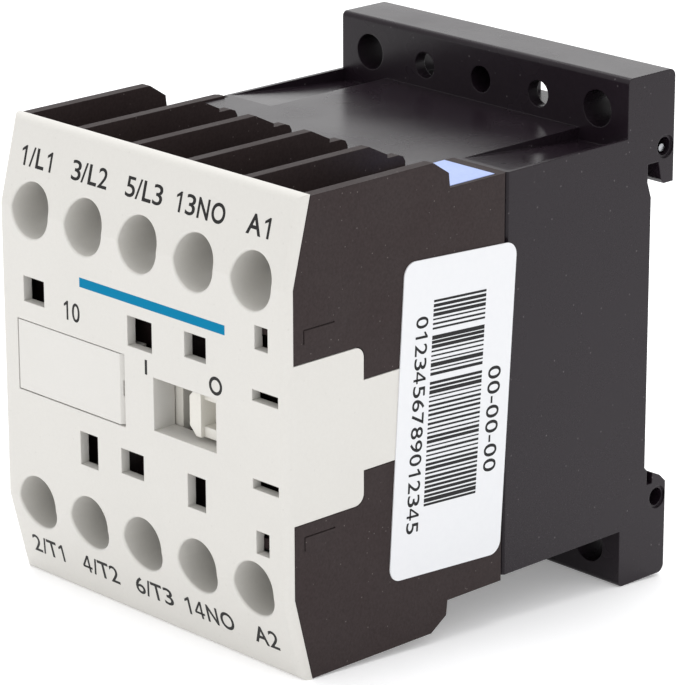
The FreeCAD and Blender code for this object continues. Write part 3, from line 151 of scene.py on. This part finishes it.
surface = {
    "fleck": (0.045, 0.0855),  # where a dust fleck starts to fade and where it ends, as a part of its cell
    "plasticSheen": 0.05,  # how far the roughness drifts each way
    "metalSheen": 0.06,
    "edgeSamples": 5,
    "metalEdge": 0.08 * mm,  # radius on the edges of stamped and drawn parts
    "bandSpan": math.pi / 10,  # metres between the bands of a wave texture whose scale is 1
    "gapShare": 0.35,  # the part of a band's height that is a dark gap: varnish between stacked sheets, painted shade in the crease between laid wires
}


def dustFlecks(tree, place, look):  # small round flecks, one in each cell
    cells = addNode(tree, "ShaderNodeTexVoronoi", {"Scale": 1 / look["dustCell"]}, {"Vector": place})
    fade, end = surface["fleck"]
    flecks = addNode(
        tree, "ShaderNodeMapRange", {"From Min": fade, "From Max": end, "To Min": 1.0, "To Max": 0.0},
        {"Value": cells.outputs["Distance"]},
    )
    return addNode(
        tree, "ShaderNodeMath", {"operation": "MULTIPLY", 1: look["dustMix"]}, {0: flecks.outputs["Result"]}
    ).outputs[0]


def mouldedPlastic(name, look):
    material, tree, place = startMaterial(name)
    drift = addNode(
        tree, "ShaderNodeTexNoise", {"Scale": 1 / look["driftSize"], "Detail": 3.0}, {"Vector": place}
    )
    base = addNode(
        tree, "ShaderNodeMix", {"data_type": "RGBA", 6: linear(look["colour"]), 7: linear(look["drift"])},
        {0: drift.outputs["Fac"]},
    ).outputs[2]
    grain = addNode(
        tree, "ShaderNodeTexNoise", {"Scale": 1 / look["grainSize"], "Detail": 4.0, "Roughness": 0.6},
        {"Vector": place},
    )
    spread = addNode(
        tree, "ShaderNodeMapRange",
        {"From Min": 0.3, "From Max": 0.7, "To Min": 0.0, "To Max": look["grainMix"]},
        {"Value": grain.outputs["Fac"]},
    )
    base = addNode(
        tree, "ShaderNodeMix", {"data_type": "RGBA", 7: linear(look["grainColour"])},
        {0: spread.outputs["Result"], 6: base},
    ).outputs[2]
    if look.get("dustMix"):
        base = addNode(
            tree, "ShaderNodeMix", {"data_type": "RGBA", 7: linear(look["dustColour"])},
            {0: dustFlecks(tree, place, look), 6: base},
        ).outputs[2]
    sheen = addNode(
        tree, "ShaderNodeMapRange",
        {"From Min": 0.25, "From Max": 0.75, "To Min": look["roughness"] - surface["plasticSheen"],
         "To Max": look["roughness"] + surface["plasticSheen"]},
        {"Value": drift.outputs["Fac"]},
    )
    normal = addNode(  # the small radius a mould leaves on every edge
        tree, "ShaderNodeBevel", {"samples": surface["edgeSamples"], "Radius": look["edge"]}
    ).outputs["Normal"]
    if look.get("wave"):  # sink and flow marks, shallow and several millimetres long
        run = addNode(tree, "ShaderNodeMapping", {"Scale": look["waveStretch"]}, {"Vector": place})
        swell = addNode(
            tree, "ShaderNodeTexNoise", {"Scale": 1 / look["waveSize"], "Detail": 1.0},
            {"Vector": run.outputs[0]},
        )
        normal = addNode(
            tree, "ShaderNodeBump", {"Strength": 1.0, "Distance": look["wave"]},
            {"Height": swell.outputs["Fac"], "Normal": normal},
        ).outputs["Normal"]
    normal = addNode(
        tree, "ShaderNodeBump", {"Strength": look["grainBump"], "Distance": look["grainDepth"]},
        {"Height": grain.outputs["Fac"], "Normal": normal},
    ).outputs["Normal"]
    settings = {"IOR": look["ior"], "Specular IOR Level": look.get("specular", 0.5)}
    links = {"Base Color": base, "Roughness": sheen.outputs["Result"], "Normal": normal}
    finishMaterial(tree, settings, links)
    return material


def metal(name, look):
    material, tree, place = startMaterial(name)
    run = addNode(tree, "ShaderNodeMapping", {"Scale": look["stretch"]}, {"Vector": place})
    streak = addNode(
        tree, "ShaderNodeTexNoise", {"Scale": 1 / look["streakSize"], "Detail": 3.0},
        {"Vector": run.outputs[0]},
    )
    base = addNode(
        tree, "ShaderNodeMix", {"data_type": "RGBA", 6: linear(look["colour"]), 7: linear(look["dark"])},
        {0: streak.outputs["Fac"]},
    ).outputs[2]
    height = streak.outputs["Fac"]
    if look.get("pitch"):  # stacked sheets or laid wires; the dark line is varnish between sheets and painted shade in the crease between wires
        bands = addNode(
            tree, "ShaderNodeTexWave",
            {"bands_direction": look["across"], "Scale": surface["bandSpan"] / look["pitch"],
             "Distortion": 0.0},
            {"Vector": place},
        )
        # the dark line in each band: real varnish between stacked sheets, painted shade in the crease between
        # laid wires
        line = addNode(
            tree, "ShaderNodeMapRange",
            {"From Min": 0.0, "From Max": surface["gapShare"], "To Min": look["varnishAndCreaseShadeMix"], "To Max": 0.0},
            {"Value": bands.outputs["Fac"]},
        )
        base = addNode(
            tree, "ShaderNodeMix", {"data_type": "RGBA", 7: linear(look["varnishAndCreaseShadeColour"])},
            {0: line.outputs["Result"], 6: base},
        ).outputs[2]
        height = bands.outputs["Fac"]
    sheen = addNode(
        tree, "ShaderNodeMapRange",
        {"From Min": 0.3, "From Max": 0.7, "To Min": look["roughness"] - surface["metalSheen"],
         "To Max": look["roughness"] + surface["metalSheen"]},
        {"Value": streak.outputs["Fac"]},
    )
    rounded = addNode(
        tree, "ShaderNodeBevel", {"samples": surface["edgeSamples"], "Radius": surface["metalEdge"]}
    ).outputs["Normal"]
    normal = addNode(
        tree, "ShaderNodeBump", {"Strength": look["bump"], "Distance": look["depth"]},
        {"Height": height, "Normal": rounded},
    ).outputs["Normal"]
    links = {"Base Color": base, "Roughness": sheen.outputs["Result"], "Normal": normal}
    finishMaterial(tree, {"Metallic": 1.0}, links)
    return material


def plain(name, look):  # ink, paper and film: thin layers with a faint mottle
    material, tree, place = startMaterial(name)
    mottle = addNode(
        tree, "ShaderNodeTexNoise", {"Scale": 1 / look["size"], "Detail": 3.0}, {"Vector": place}
    )
    base = addNode(
        tree, "ShaderNodeMix", {"data_type": "RGBA", 6: linear(look["colour"]), 7: linear(look["drift"])},
        {0: mottle.outputs["Fac"]},
    ).outputs[2]
    normal = addNode(
        tree, "ShaderNodeBump", {"Strength": look["bump"], "Distance": look["depth"]},
        {"Height": mottle.outputs["Fac"]},
    ).outputs["Normal"]
    settings = {"Roughness": look["roughness"], "IOR": look["ior"]}
    if look.get("glow"):
        settings |= {"Emission Color": (1, 1, 1, 1), "Emission Strength": look["glow"]}
    finishMaterial(tree, settings, {"Base Color": base, "Normal": normal})
    return material


coverAbs = mouldedPlastic("cover_abs", {  # ABS, moulded in a satin tool: soft, even, warm light grey
    "colour": "CFCDC8", "drift": "CCCAC5", "driftSize": 14 * mm, "grainColour": "C4C1BC", "grainMix": 0.25,
    "grainSize": 0.35 * mm, "grainBump": 0.15, "grainDepth": 0.02 * mm, "roughness": 0.48, "ior": 1.53,
    "edge": 0.12 * mm, "dustMix": 0.10, "dustCell": 1.6 * mm, "dustColour": "8A867E",
})
markerAbs = mouldedPlastic("marker_abs", {  # the same ABS with a finer, slightly glossier face to write on
    "colour": "CFCDC9", "drift": "CDCBC6", "driftSize": 9 * mm, "grainColour": "C6C4BF", "grainMix": 0.2,
    "grainSize": 0.3 * mm, "grainBump": 0.1, "grainDepth": 0.015 * mm, "roughness": 0.4, "ior": 1.53,
    "edge": 0.12 * mm,
})
housingPolyamide = mouldedPlastic("housing_polyamide", {  # glass filled polyamide: matte brown black skin
    "colour": "211717", "drift": "261B1B", "driftSize": 6 * mm, "grainColour": "382D2D", "grainMix": 0.5,
    "grainSize": 0.32 * mm, "grainBump": 0.5, "grainDepth": 0.03 * mm, "roughness": 0.62, "ior": 1.53,
    "specular": 0.22, "edge": 0.12 * mm, "dustMix": 0.35, "dustCell": 1.1 * mm, "dustColour": "8B8280",
})
basePolyamide = mouldedPlastic("base_polyamide", {  # the same in a smoother tool: dark, cooler, half gloss
    "colour": "191218", "drift": "1D161C", "driftSize": 9 * mm, "grainColour": "272026", "grainMix": 0.3,
    "grainSize": 0.4 * mm, "grainBump": 0.25, "grainDepth": 0.02 * mm, "roughness": 0.26, "ior": 1.53,
    "specular": 0.2, "edge": 0.15 * mm, "dustMix": 0.3, "dustCell": 1.5 * mm, "dustColour": "7B7678",
    "wave": 0.05 * mm, "waveSize": 9 * mm, "waveStretch": (1.0, 0.45, 1.0),
})
combPbt = mouldedPlastic("comb_pbt", {  # natural PBT: off white, dense, waxy
    "colour": "D9D7D0", "drift": "D3D0C8", "driftSize": 4 * mm, "grainColour": "C6C2B8", "grainMix": 0.2,
    "grainSize": 0.25 * mm, "grainBump": 0.1, "grainDepth": 0.01 * mm, "roughness": 0.38, "ior": 1.55,
    "edge": 0.15 * mm,
})
bobbinNylon = mouldedPlastic("bobbin_nylon", {  # natural nylon: milky yellow white, a little gloss
    "colour": "E3DCC4", "drift": "DAD2B8", "driftSize": 5 * mm, "grainColour": "C9C0A4", "grainMix": 0.2,
    "grainSize": 0.3 * mm, "grainBump": 0.1, "grainDepth": 0.01 * mm, "roughness": 0.42, "ior": 1.53,
    "edge": 0.15 * mm,
})
tagBlue = mouldedPlastic("tag_blue", {  # tinted polycarbonate chip: pale blue, smooth
    "colour": "98ABDE", "drift": "92A5DA", "driftSize": 3 * mm, "grainColour": "AFC0EC", "grainMix": 0.3,
    "grainSize": 0.4 * mm, "grainBump": 0.1, "grainDepth": 0.01 * mm, "roughness": 0.35, "ior": 1.58,
    "edge": 0.08 * mm,
})
padRubber = mouldedPlastic("pad_rubber", {  # nitrile rubber: dead matte black
    "colour": "1C1C1C", "drift": "232323", "driftSize": 3 * mm, "grainColour": "2E2E2E", "grainMix": 0.4,
    "grainSize": 0.3 * mm, "grainBump": 0.6, "grainDepth": 0.03 * mm, "roughness": 0.85, "ior": 1.52,
    "edge": 0.15 * mm,
})
zincSteel = metal("zinc_steel", {  # zinc plated steel, rolled and stamped: bright, bluish, faint streaks
    "colour": "CFCFCB", "dark": "A9A9A6", "streakSize": 0.8 * mm, "stretch": (1, 1, 4), "roughness": 0.32,
    "bump": 0.2, "depth": 0.01 * mm,
})
springSteel = metal("spring_steel", {  # drawn music wire: bright with a blued shade
    "colour": "B5B6B8", "dark": "8E9094", "streakSize": 0.5 * mm, "stretch": (4, 1, 1), "roughness": 0.25,
    "bump": 0.1, "depth": 0.005 * mm,
})
terminalBrass = metal("terminal_brass", {  # tin flashed brass strip: pale gold, rolled grain
    "colour": "D8C38C", "dark": "B79D5F", "streakSize": 1.0 * mm, "stretch": (1, 1, 5), "roughness": 0.36,
    "bump": 0.2, "depth": 0.01 * mm,
})
contactCopper = metal("contact_copper", {  # half hard copper alloy strip with tarnish clouds
    "colour": "D59A74", "dark": "B0704A", "streakSize": 1.2 * mm, "stretch": (1, 1, 3), "roughness": 0.34,
    "bump": 0.2, "depth": 0.01 * mm,
})
windingCopper = metal("winding_copper", {  # enamelled round wire laid in layers, 0.2 mm apart, with painted shade in the creases between the wires
    "colour": "B86A3A", "dark": "9A5226", "streakSize": 1.0 * mm, "stretch": (1, 1, 1), "roughness": 0.28,
    "bump": 1.0, "depth": 0.06 * mm, "pitch": 0.2 * mm, "across": "X", "varnishAndCreaseShadeMix": 0.8, "varnishAndCreaseShadeColour": "4A2410",
})
siliconSteel = metal("silicon_steel", {  # punched laminations, 0.5 mm thick, with dark varnish between them
    "colour": "8D9095", "dark": "6F7277", "streakSize": 1.2 * mm, "stretch": (1, 1, 1), "roughness": 0.42,
    "bump": 0.8, "depth": 0.04 * mm, "pitch": 0.5 * mm, "across": "Y", "varnishAndCreaseShadeMix": 0.8, "varnishAndCreaseShadeColour": "2B2B2D",
})
tapeFilm = plain("tape_film", {  # polyester film tape, glossy amber
    "colour": "D9A32E", "drift": "CF982A", "size": 2 * mm, "bump": 0.3, "depth": 0.02 * mm, "roughness": 0.22,
    "ior": 1.57,
})
labelPaper = plain("label_paper", {  # coated label paper: bright white with a faint cool cast and fibre
    "colour": "DDDEE0", "drift": "D9DADD", "size": 0.6 * mm, "bump": 0.1, "depth": 0.01 * mm,
    "roughness": 0.5, "ior": 1.5,
})
markingInk = plain("marking_ink", {  # pad printed ink: flat black brown
    "colour": "0C0B0A", "drift": "121010", "size": 0.5 * mm, "bump": 0.1, "depth": 0.004 * mm,
    "roughness": 0.5, "ior": 1.35,
})
stripeInk = plain("stripe_ink", {  # pad printed ink: strong blue, even
    "colour": "00779F", "drift": "00749A", "size": 1.0 * mm, "bump": 0.1, "depth": 0.004 * mm,
    "roughness": 0.5, "ior": 1.12,
})
labelInk = plain("label_ink", {  # thermal transfer ribbon: black with a wax sheen
    "colour": "0A090B", "drift": "0F0E10", "size": 0.4 * mm, "bump": 0.1, "depth": 0.003 * mm,
    "roughness": 0.4, "ior": 1.3,
})
studioWhite = plain("studio_white", {  # matte acrylic table, faintly lit from below
    "colour": "F6F6F7", "drift": "F4F4F5", "size": 40 * mm, "bump": 0.0, "depth": 0.0, "roughness": 0.9,
    "ior": 1.3, "glow": 0.22,
})
finishes = {  # start of a node's name: its material
    "front_cover": coverAbs, "marker_plate": markerAbs, "contact_housing": housingPolyamide,
    "base_housing": basePolyamide, "coil_tag": tagBlue, "side_label": labelPaper, "rail_spring": springSteel,
    "contact_carrier": combPbt, "bridge": contactCopper, "contact_spring": springSteel,
    "line_terminal": terminalBrass, "load_terminal": terminalBrass, "coil_terminal": terminalBrass,
    "terminal_screw": zincSteel, "clamp_washer": zincSteel, "bobbin": bobbinNylon,
    "coil_winding": windingCopper, "winding_tape": tapeFilm, "fixed_core": siliconSteel,
    "armature_pin": zincSteel, "armature": siliconSteel, "shading_rings": contactCopper,
    "core_pad": padRubber, "return_springs": springSteel,
}


def dressNodes():
    for name, part in nodes.items():
        start = next(key for key in finishes if name.startswith(key))
        if part.material_slots:
            for slot in part.material_slots:
                slot.material = finishes[start]
        else:
            part.data.materials.append(finishes[start])


dressNodes()
makeFloor(studioWhite)
print("materials made:", len(bpy.data.materials))


def newPiece(name, mesh, material, body):
    mesh.name = name
    if not mesh.materials:
        mesh.materials.append(material)
    piece = bpy.data.objects.new(name, mesh)
    bpy.context.scene.collection.objects.link(piece)
    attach(piece, body)
    return piece


def bakedMesh(source):  # the evaluated object as a plain mesh; the source is removed
    bpy.context.view_layer.update()
    depsgraph = bpy.context.evaluated_depsgraph_get()
    mesh = bpy.data.meshes.new_from_object(source.evaluated_get(depsgraph))
    bpy.data.objects.remove(source)
    return mesh


letters = {
    "size": 10 * mm,
    "depth": 0.1 * mm,
    "curveSteps": 6,
    "weight": {"digit": 0.008, "letter": 0.018},  # stroke added all round, as a fraction of the size
    "shapes": {  # left side, width and advance of each sign for a height of 1
        "0": (0.06, 0.66, 0.78), "1": (0.15, 0.36, 0.78), "2": (0.04, 0.66, 0.78), "3": (0.06, 0.66, 0.78),
        "4": (0.02, 0.68, 0.78), "5": (0.06, 0.66, 0.78), "6": (0.06, 0.66, 0.78), "7": (0.06, 0.66, 0.78),
        "8": (0.06, 0.66, 0.78), "9": (0.06, 0.66, 0.78), "L": (0.10, 0.62, 0.76), "T": (0.03, 0.79, 0.85),
        "N": (0.11, 0.78, 1.0), "O": (0.07, 0.94, 1.08), "A": (0.0, 0.93, 0.93), "/": (0.0, 0.38, 0.39),
        "-": (0.05, 0.36, 0.46),
    },
    "drawn": {  # signs that the font draws badly at this size, as polygons
        "1": (((0.36, 0), (0.36, 1), (0.27, 1), (0, 0.80), (0, 0.67), (0.22, 0.79), (0.22, 0)),),
        "4": (
            ((0.42, 0), (0.55, 0), (0.55, 1), (0.42, 1)),
            ((0, 0.23), (0.68, 0.23), (0.68, 0.35), (0, 0.35)),
            ((0, 0.35), (0.13, 0.35), (0.55, 1), (0.42, 1)),
        ),
        "-": (((0, 0.32), (0.36, 0.32), (0.36, 0.45), (0, 0.45)),),
    },
}


def slabMesh(outline, depth):  # a flat polygon given a thickness
    slab = bmesh.new()
    face = slab.faces.new([slab.verts.new((x, y, 0)) for x, y in outline])
    raised = bmesh.ops.extrude_face_region(slab, geom=[face])["geom"]
    corners = [item for item in raised if isinstance(item, bmesh.types.BMVert)]
    bmesh.ops.translate(slab, verts=corners, vec=(0, 0, depth))
    bmesh.ops.recalc_face_normals(slab, faces=slab.faces)
    mesh = bpy.data.meshes.new("slab")
    slab.to_mesh(mesh)
    slab.free()
    return mesh


def fitted(mesh, left, width, low, height):  # moves and scales a mesh in its own plane
    xs = [v.co.x for v in mesh.vertices]
    ys = [v.co.y for v in mesh.vertices]
    scale = (width / (max(xs) - min(xs)), height / (max(ys) - min(ys)), 1, 1)
    start = Matrix.Translation((-min(xs), -min(ys), 0))
    mesh.transform(Matrix.Translation((left, low, 0)) @ Matrix.Diagonal(scale) @ start)
    return mesh


def signMesh(sign):  # one sign, its height 1 and its left side at 0
    if sign in letters["drawn"]:
        return joinMeshes([slabMesh(outline, letters["depth"]) for outline in letters["drawn"][sign]])
    width = letters["shapes"][sign][1]
    curve = bpy.data.curves.new("sign", "FONT")
    curve.body = sign
    curve.size = letters["size"]
    curve.offset = letters["weight"]["digit" if sign.isdigit() else "letter"] * letters["size"]
    curve.extrude = letters["depth"] / 2
    curve.resolution_u = letters["curveSteps"]
    holder = bpy.data.objects.new("sign", curve)
    bpy.context.scene.collection.objects.link(holder)
    return fitted(bakedMesh(holder), 0, width, 0, 1)


def textMesh(words, width, height, thickness):  # a word centred on the origin, fitted to its printed size
    parts = []
    reach = 0
    for sign in words:
        left, _, advance = letters["shapes"][sign]
        mesh = signMesh(sign)
        mesh.transform(Matrix.Translation((reach + left, 0, 0)))
        parts.append(mesh)
        reach += advance
    word = fitted(joinMeshes(parts), -width / 2, width, -height / 2, height)
    middle = sum(v.co.z for v in word.vertices) / len(word.vertices)
    flatten = Matrix.Diagonal((1, 1, thickness / letters["depth"], 1))
    word.transform(flatten @ Matrix.Translation((0, 0, -middle)))
    return word


def planeMatrix(origin, right, up):
    right = Vector(right).normalized()
    up = Vector(up).normalized()
    turn = Matrix((right, up, right.cross(up))).transposed()
    return Matrix.Translation(origin) @ turn.to_4x4()


def joinMeshes(parts):
    whole = bmesh.new()
    for mesh in parts:
        whole.from_mesh(mesh)
    joined = bpy.data.meshes.new("joined")
    whole.to_mesh(joined)
    whole.free()
    for mesh in parts:
        bpy.data.meshes.remove(mesh)
    return joined


marks = {
    "ink": 0.02 * mm,
    "height": 2.15 * mm,
    "middle": 21.97 * mm,  # distance of each word's middle from the front's centre line
    "flatTo": 16.45 * mm,  # where the front starts to slope back
    "slopeRun": (9.4, 2.4),  # millimetres of height and of depth
    "rows": (  # up or down, pitch and shift to the right, and each word with its width, all in millimetres
        (1, 8.65, -0.1, (("1/L1", 4.95), ("3/L2", 5.7), ("5/L3", 5.7), ("13NO", 7.4), ("A1", 3.35))),
        (-1, 8.77, 0.24, (("2/T1", 5.2), ("4/T2", 6.0), ("6/T3", 6.0), ("14NO", 7.6), ("A2", 3.7))),
    ),
}


def makeTerminalMarks():
    rise, back = marks["slopeRun"]
    parts = []
    for side, pitch, shift, words in marks["rows"]:
        z = side * marks["middle"]
        y = frontFace + (marks["middle"] - marks["flatTo"]) * back / rise
        for column, (word, width) in enumerate(words):
            mesh = textMesh(word, width * mm, marks["height"], marks["ink"])
            x = ((column - (len(words) - 1) / 2) * pitch + shift) * mm
            mesh.transform(planeMatrix((x, y, z), (1, 0, 0), (0, side * back, rise)))
            parts.append(mesh)
    newPiece("terminal_marks", joinMeshes(parts), markingInk, "housing")


def flatRing(radius, width, thickness, steps):  # a printed ring as a closed band
    mesh = bpy.data.meshes.new("ring")
    points = []
    for level in (-thickness / 2, thickness / 2):
        for reach in (radius - width / 2, radius + width / 2):
            for step in range(steps):
                angle = 2 * math.pi * step / steps
                points.append((reach * math.cos(angle), reach * math.sin(angle), level))
    faces = []
    for step in range(steps):
        a, b = step, (step + 1) % steps
        low, lowOut, high, highOut = (level * steps for level in range(4))
        faces += [
            (high + a, highOut + a, highOut + b, high + b), (low + a, low + b, lowOut + b, lowOut + a),
            (lowOut + a, lowOut + b, highOut + b, highOut + a), (low + b, low + a, high + a, high + b),
        ]
    mesh.from_pydata(points, [], faces)
    return mesh


def flatBar(width, height, thickness):
    bar = bmesh.new()
    bmesh.ops.create_cube(bar, size=1)
    mesh = bpy.data.meshes.new("bar")
    bar.to_mesh(mesh)
    bar.free()
    mesh.transform(Matrix.Diagonal((width, height, thickness, 1)))
    return mesh


faceMarks = {  # in millimetres: middle x, middle z, then the size
    "stripe": (2.15, 10.47, 22.7, 1.04),  # width and height
    "onBar": (1.25, 3.6, 0.36, 1.6),
    "offRing": (12.03, 4.2, 0.82, 0.36),  # radius and line
    "ringSteps": 40,
    "rating": ("10", -10.55, 6.9, 2.55, 2.1),
}


def makeFaceMarks():
    ink = marks["ink"]
    right, up = (1, 0, 0), (0, 0, 1)
    x, z, width, height = (value * mm for value in faceMarks["stripe"])
    stripe = flatBar(width, height, ink)
    stripe.transform(planeMatrix((x, frontFace, z), right, up))
    newPiece("face_stripe", stripe, stripeInk, "housing")
    x, z, width, height = (value * mm for value in faceMarks["onBar"])
    bar = flatBar(width, height, ink)
    bar.transform(planeMatrix((x, frontFace, z), right, up))
    x, z, radius, line = (value * mm for value in faceMarks["offRing"])
    ring = flatRing(radius, line, ink, faceMarks["ringSteps"])
    ring.transform(planeMatrix((x, frontFace, z), right, up))
    word, x, z, width, height = faceMarks["rating"]
    rating = textMesh(word, width * mm, height * mm, ink)
    rating.transform(planeMatrix((x * mm, frontFace, z * mm), right, up))
    newPiece("face_marks", joinMeshes([bar, ring, rating]), markingInk, "housing")


makeTerminalMarks()
makeFaceMarks()
print("front printed")


sticker = {
    "middle": (23.6, -1.65),  # behind the front face and above the centre, in millimetres
    "tilt": math.radians(3.6),
    "bars": (0.1, 1.5, 7.7, 22.0),  # across, up, length of a bar and height of the column
    "count": 46,
    "narrow": 0.15 * mm,
    "wide": 0.45 * mm,
    "thinBias": 1.5,  # above 1, thin bars outnumber wide ones
    "filled": 0.93,  # the share of places that hold a bar
    "seed": 5,
    "longLine": ("0123456789012345", -5.3, -0.6, 23.4, 1.75),  # across, up, length and height
    "shortLine": ("00-00-00", 5.85, -1.8, 11.6, 1.9),
}


def stickerPlane():  # right runs into the depth, up follows the sticker's long side
    back, height = sticker["middle"]
    tilt = sticker["tilt"]
    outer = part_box("side_label")[1].x
    origin = (outer, frontFace + back * mm, height * mm)
    return planeMatrix(origin, (0, math.cos(tilt), -math.sin(tilt)), (0, math.sin(tilt), math.cos(tilt)))


def barTree():  # a column of bars whose widths vary from a seed
    tree = bpy.data.node_groups.new("barColumn", "GeometryNodeTree")
    for name, kind in (
        ("Count", "NodeSocketInt"), ("Pitch", "NodeSocketFloat"), ("Bar Length", "NodeSocketFloat"),
        ("Narrow", "NodeSocketFloat"), ("Wide", "NodeSocketFloat"), ("Thickness", "NodeSocketFloat"),
        ("Seed", "NodeSocketInt"), ("Material", "NodeSocketMaterial"),
    ):
        tree.interface.new_socket(name, in_out="INPUT", socket_type=kind)
    tree.interface.new_socket("Geometry", in_out="OUTPUT", socket_type="NodeSocketGeometry")
    given = addNode(tree, "NodeGroupInput").outputs
    step = addNode(tree, "ShaderNodeCombineXYZ", None, {"Y": given["Pitch"]})
    line = addNode(tree, "GeometryNodeMeshLine", None, {"Count": given["Count"], "Offset": step.outputs[0]})
    shape = addNode(
        tree, "ShaderNodeCombineXYZ", {"Y": 1.0}, {"X": given["Bar Length"], "Z": given["Thickness"]}
    )
    bar = addNode(tree, "GeometryNodeMeshCube", None, {"Size": shape.outputs[0]})
    chance = addNode(tree, "FunctionNodeRandomValue", {"data_type": "FLOAT"}, {"Seed": given["Seed"]})
    skewed = addNode(
        tree, "ShaderNodeMath", {"operation": "POWER", 1: sticker["thinBias"]}, {0: chance.outputs[1]}
    )
    width = addNode(
        tree, "ShaderNodeMapRange", None,
        {"Value": skewed.outputs[0], "To Min": given["Narrow"], "To Max": given["Wide"]},
    )
    scale = addNode(tree, "ShaderNodeCombineXYZ", {"X": 1.0, "Z": 1.0}, {"Y": width.outputs["Result"]})
    shown = addNode(
        tree, "FunctionNodeRandomValue", {"data_type": "BOOLEAN", "Probability": sticker["filled"]},
        {"Seed": given["Seed"]},
    )
    placed = addNode(
        tree, "GeometryNodeInstanceOnPoints", None,
        {"Points": line.outputs[0], "Instance": bar.outputs["Mesh"], "Scale": scale.outputs[0],
         "Selection": shown.outputs[3]},
    )
    solid = addNode(tree, "GeometryNodeRealizeInstances", None, {"Geometry": placed.outputs[0]})
    inked = addNode(
        tree, "GeometryNodeSetMaterial", None, {"Geometry": solid.outputs[0], "Material": given["Material"]}
    )
    addNode(tree, "NodeGroupOutput", None, {"Geometry": inked.outputs[0]})
    return tree


def grownMesh(tree, values):  # runs a node tree once and keeps its mesh
    holder = bpy.data.objects.new("grown", bpy.data.meshes.new("grown"))
    bpy.context.scene.collection.objects.link(holder)
    modifier = holder.modifiers.new("grown", "NODES")
    modifier.node_group = tree
    for item in tree.interface.items_tree:
        if item.item_type == "SOCKET" and item.in_out == "INPUT":
            modifier[item.identifier] = values[item.name]
    return bakedMesh(holder)


def makeStickerPrint():
    across, up, length, height = (value * mm for value in sticker["bars"])
    pitch = height / (sticker["count"] - 1)
    column = grownMesh(barTree(), {
        "Count": sticker["count"], "Pitch": pitch, "Bar Length": length, "Narrow": sticker["narrow"],
        "Wide": sticker["wide"], "Thickness": marks["ink"], "Seed": sticker["seed"], "Material": labelInk,
    })
    column.transform(Matrix.Translation((across, up - height / 2, 0)))
    column.transform(stickerPlane())
    newPiece("sticker_bars", column, labelInk, "housing")
    parts = []
    for word, across, up, length, height in (sticker["longLine"], sticker["shortLine"]):
        mesh = textMesh(word, length * mm, height * mm, marks["ink"])
        mesh.transform(Matrix.Rotation(-math.pi / 2, 4, "Z"))
        mesh.transform(Matrix.Translation((across * mm, up * mm, 0)))
        mesh.transform(stickerPlane())
        parts.append(mesh)
    newPiece("sticker_digits", joinMeshes(parts), labelInk, "housing")


makeStickerPrint()
print("sticker printed")
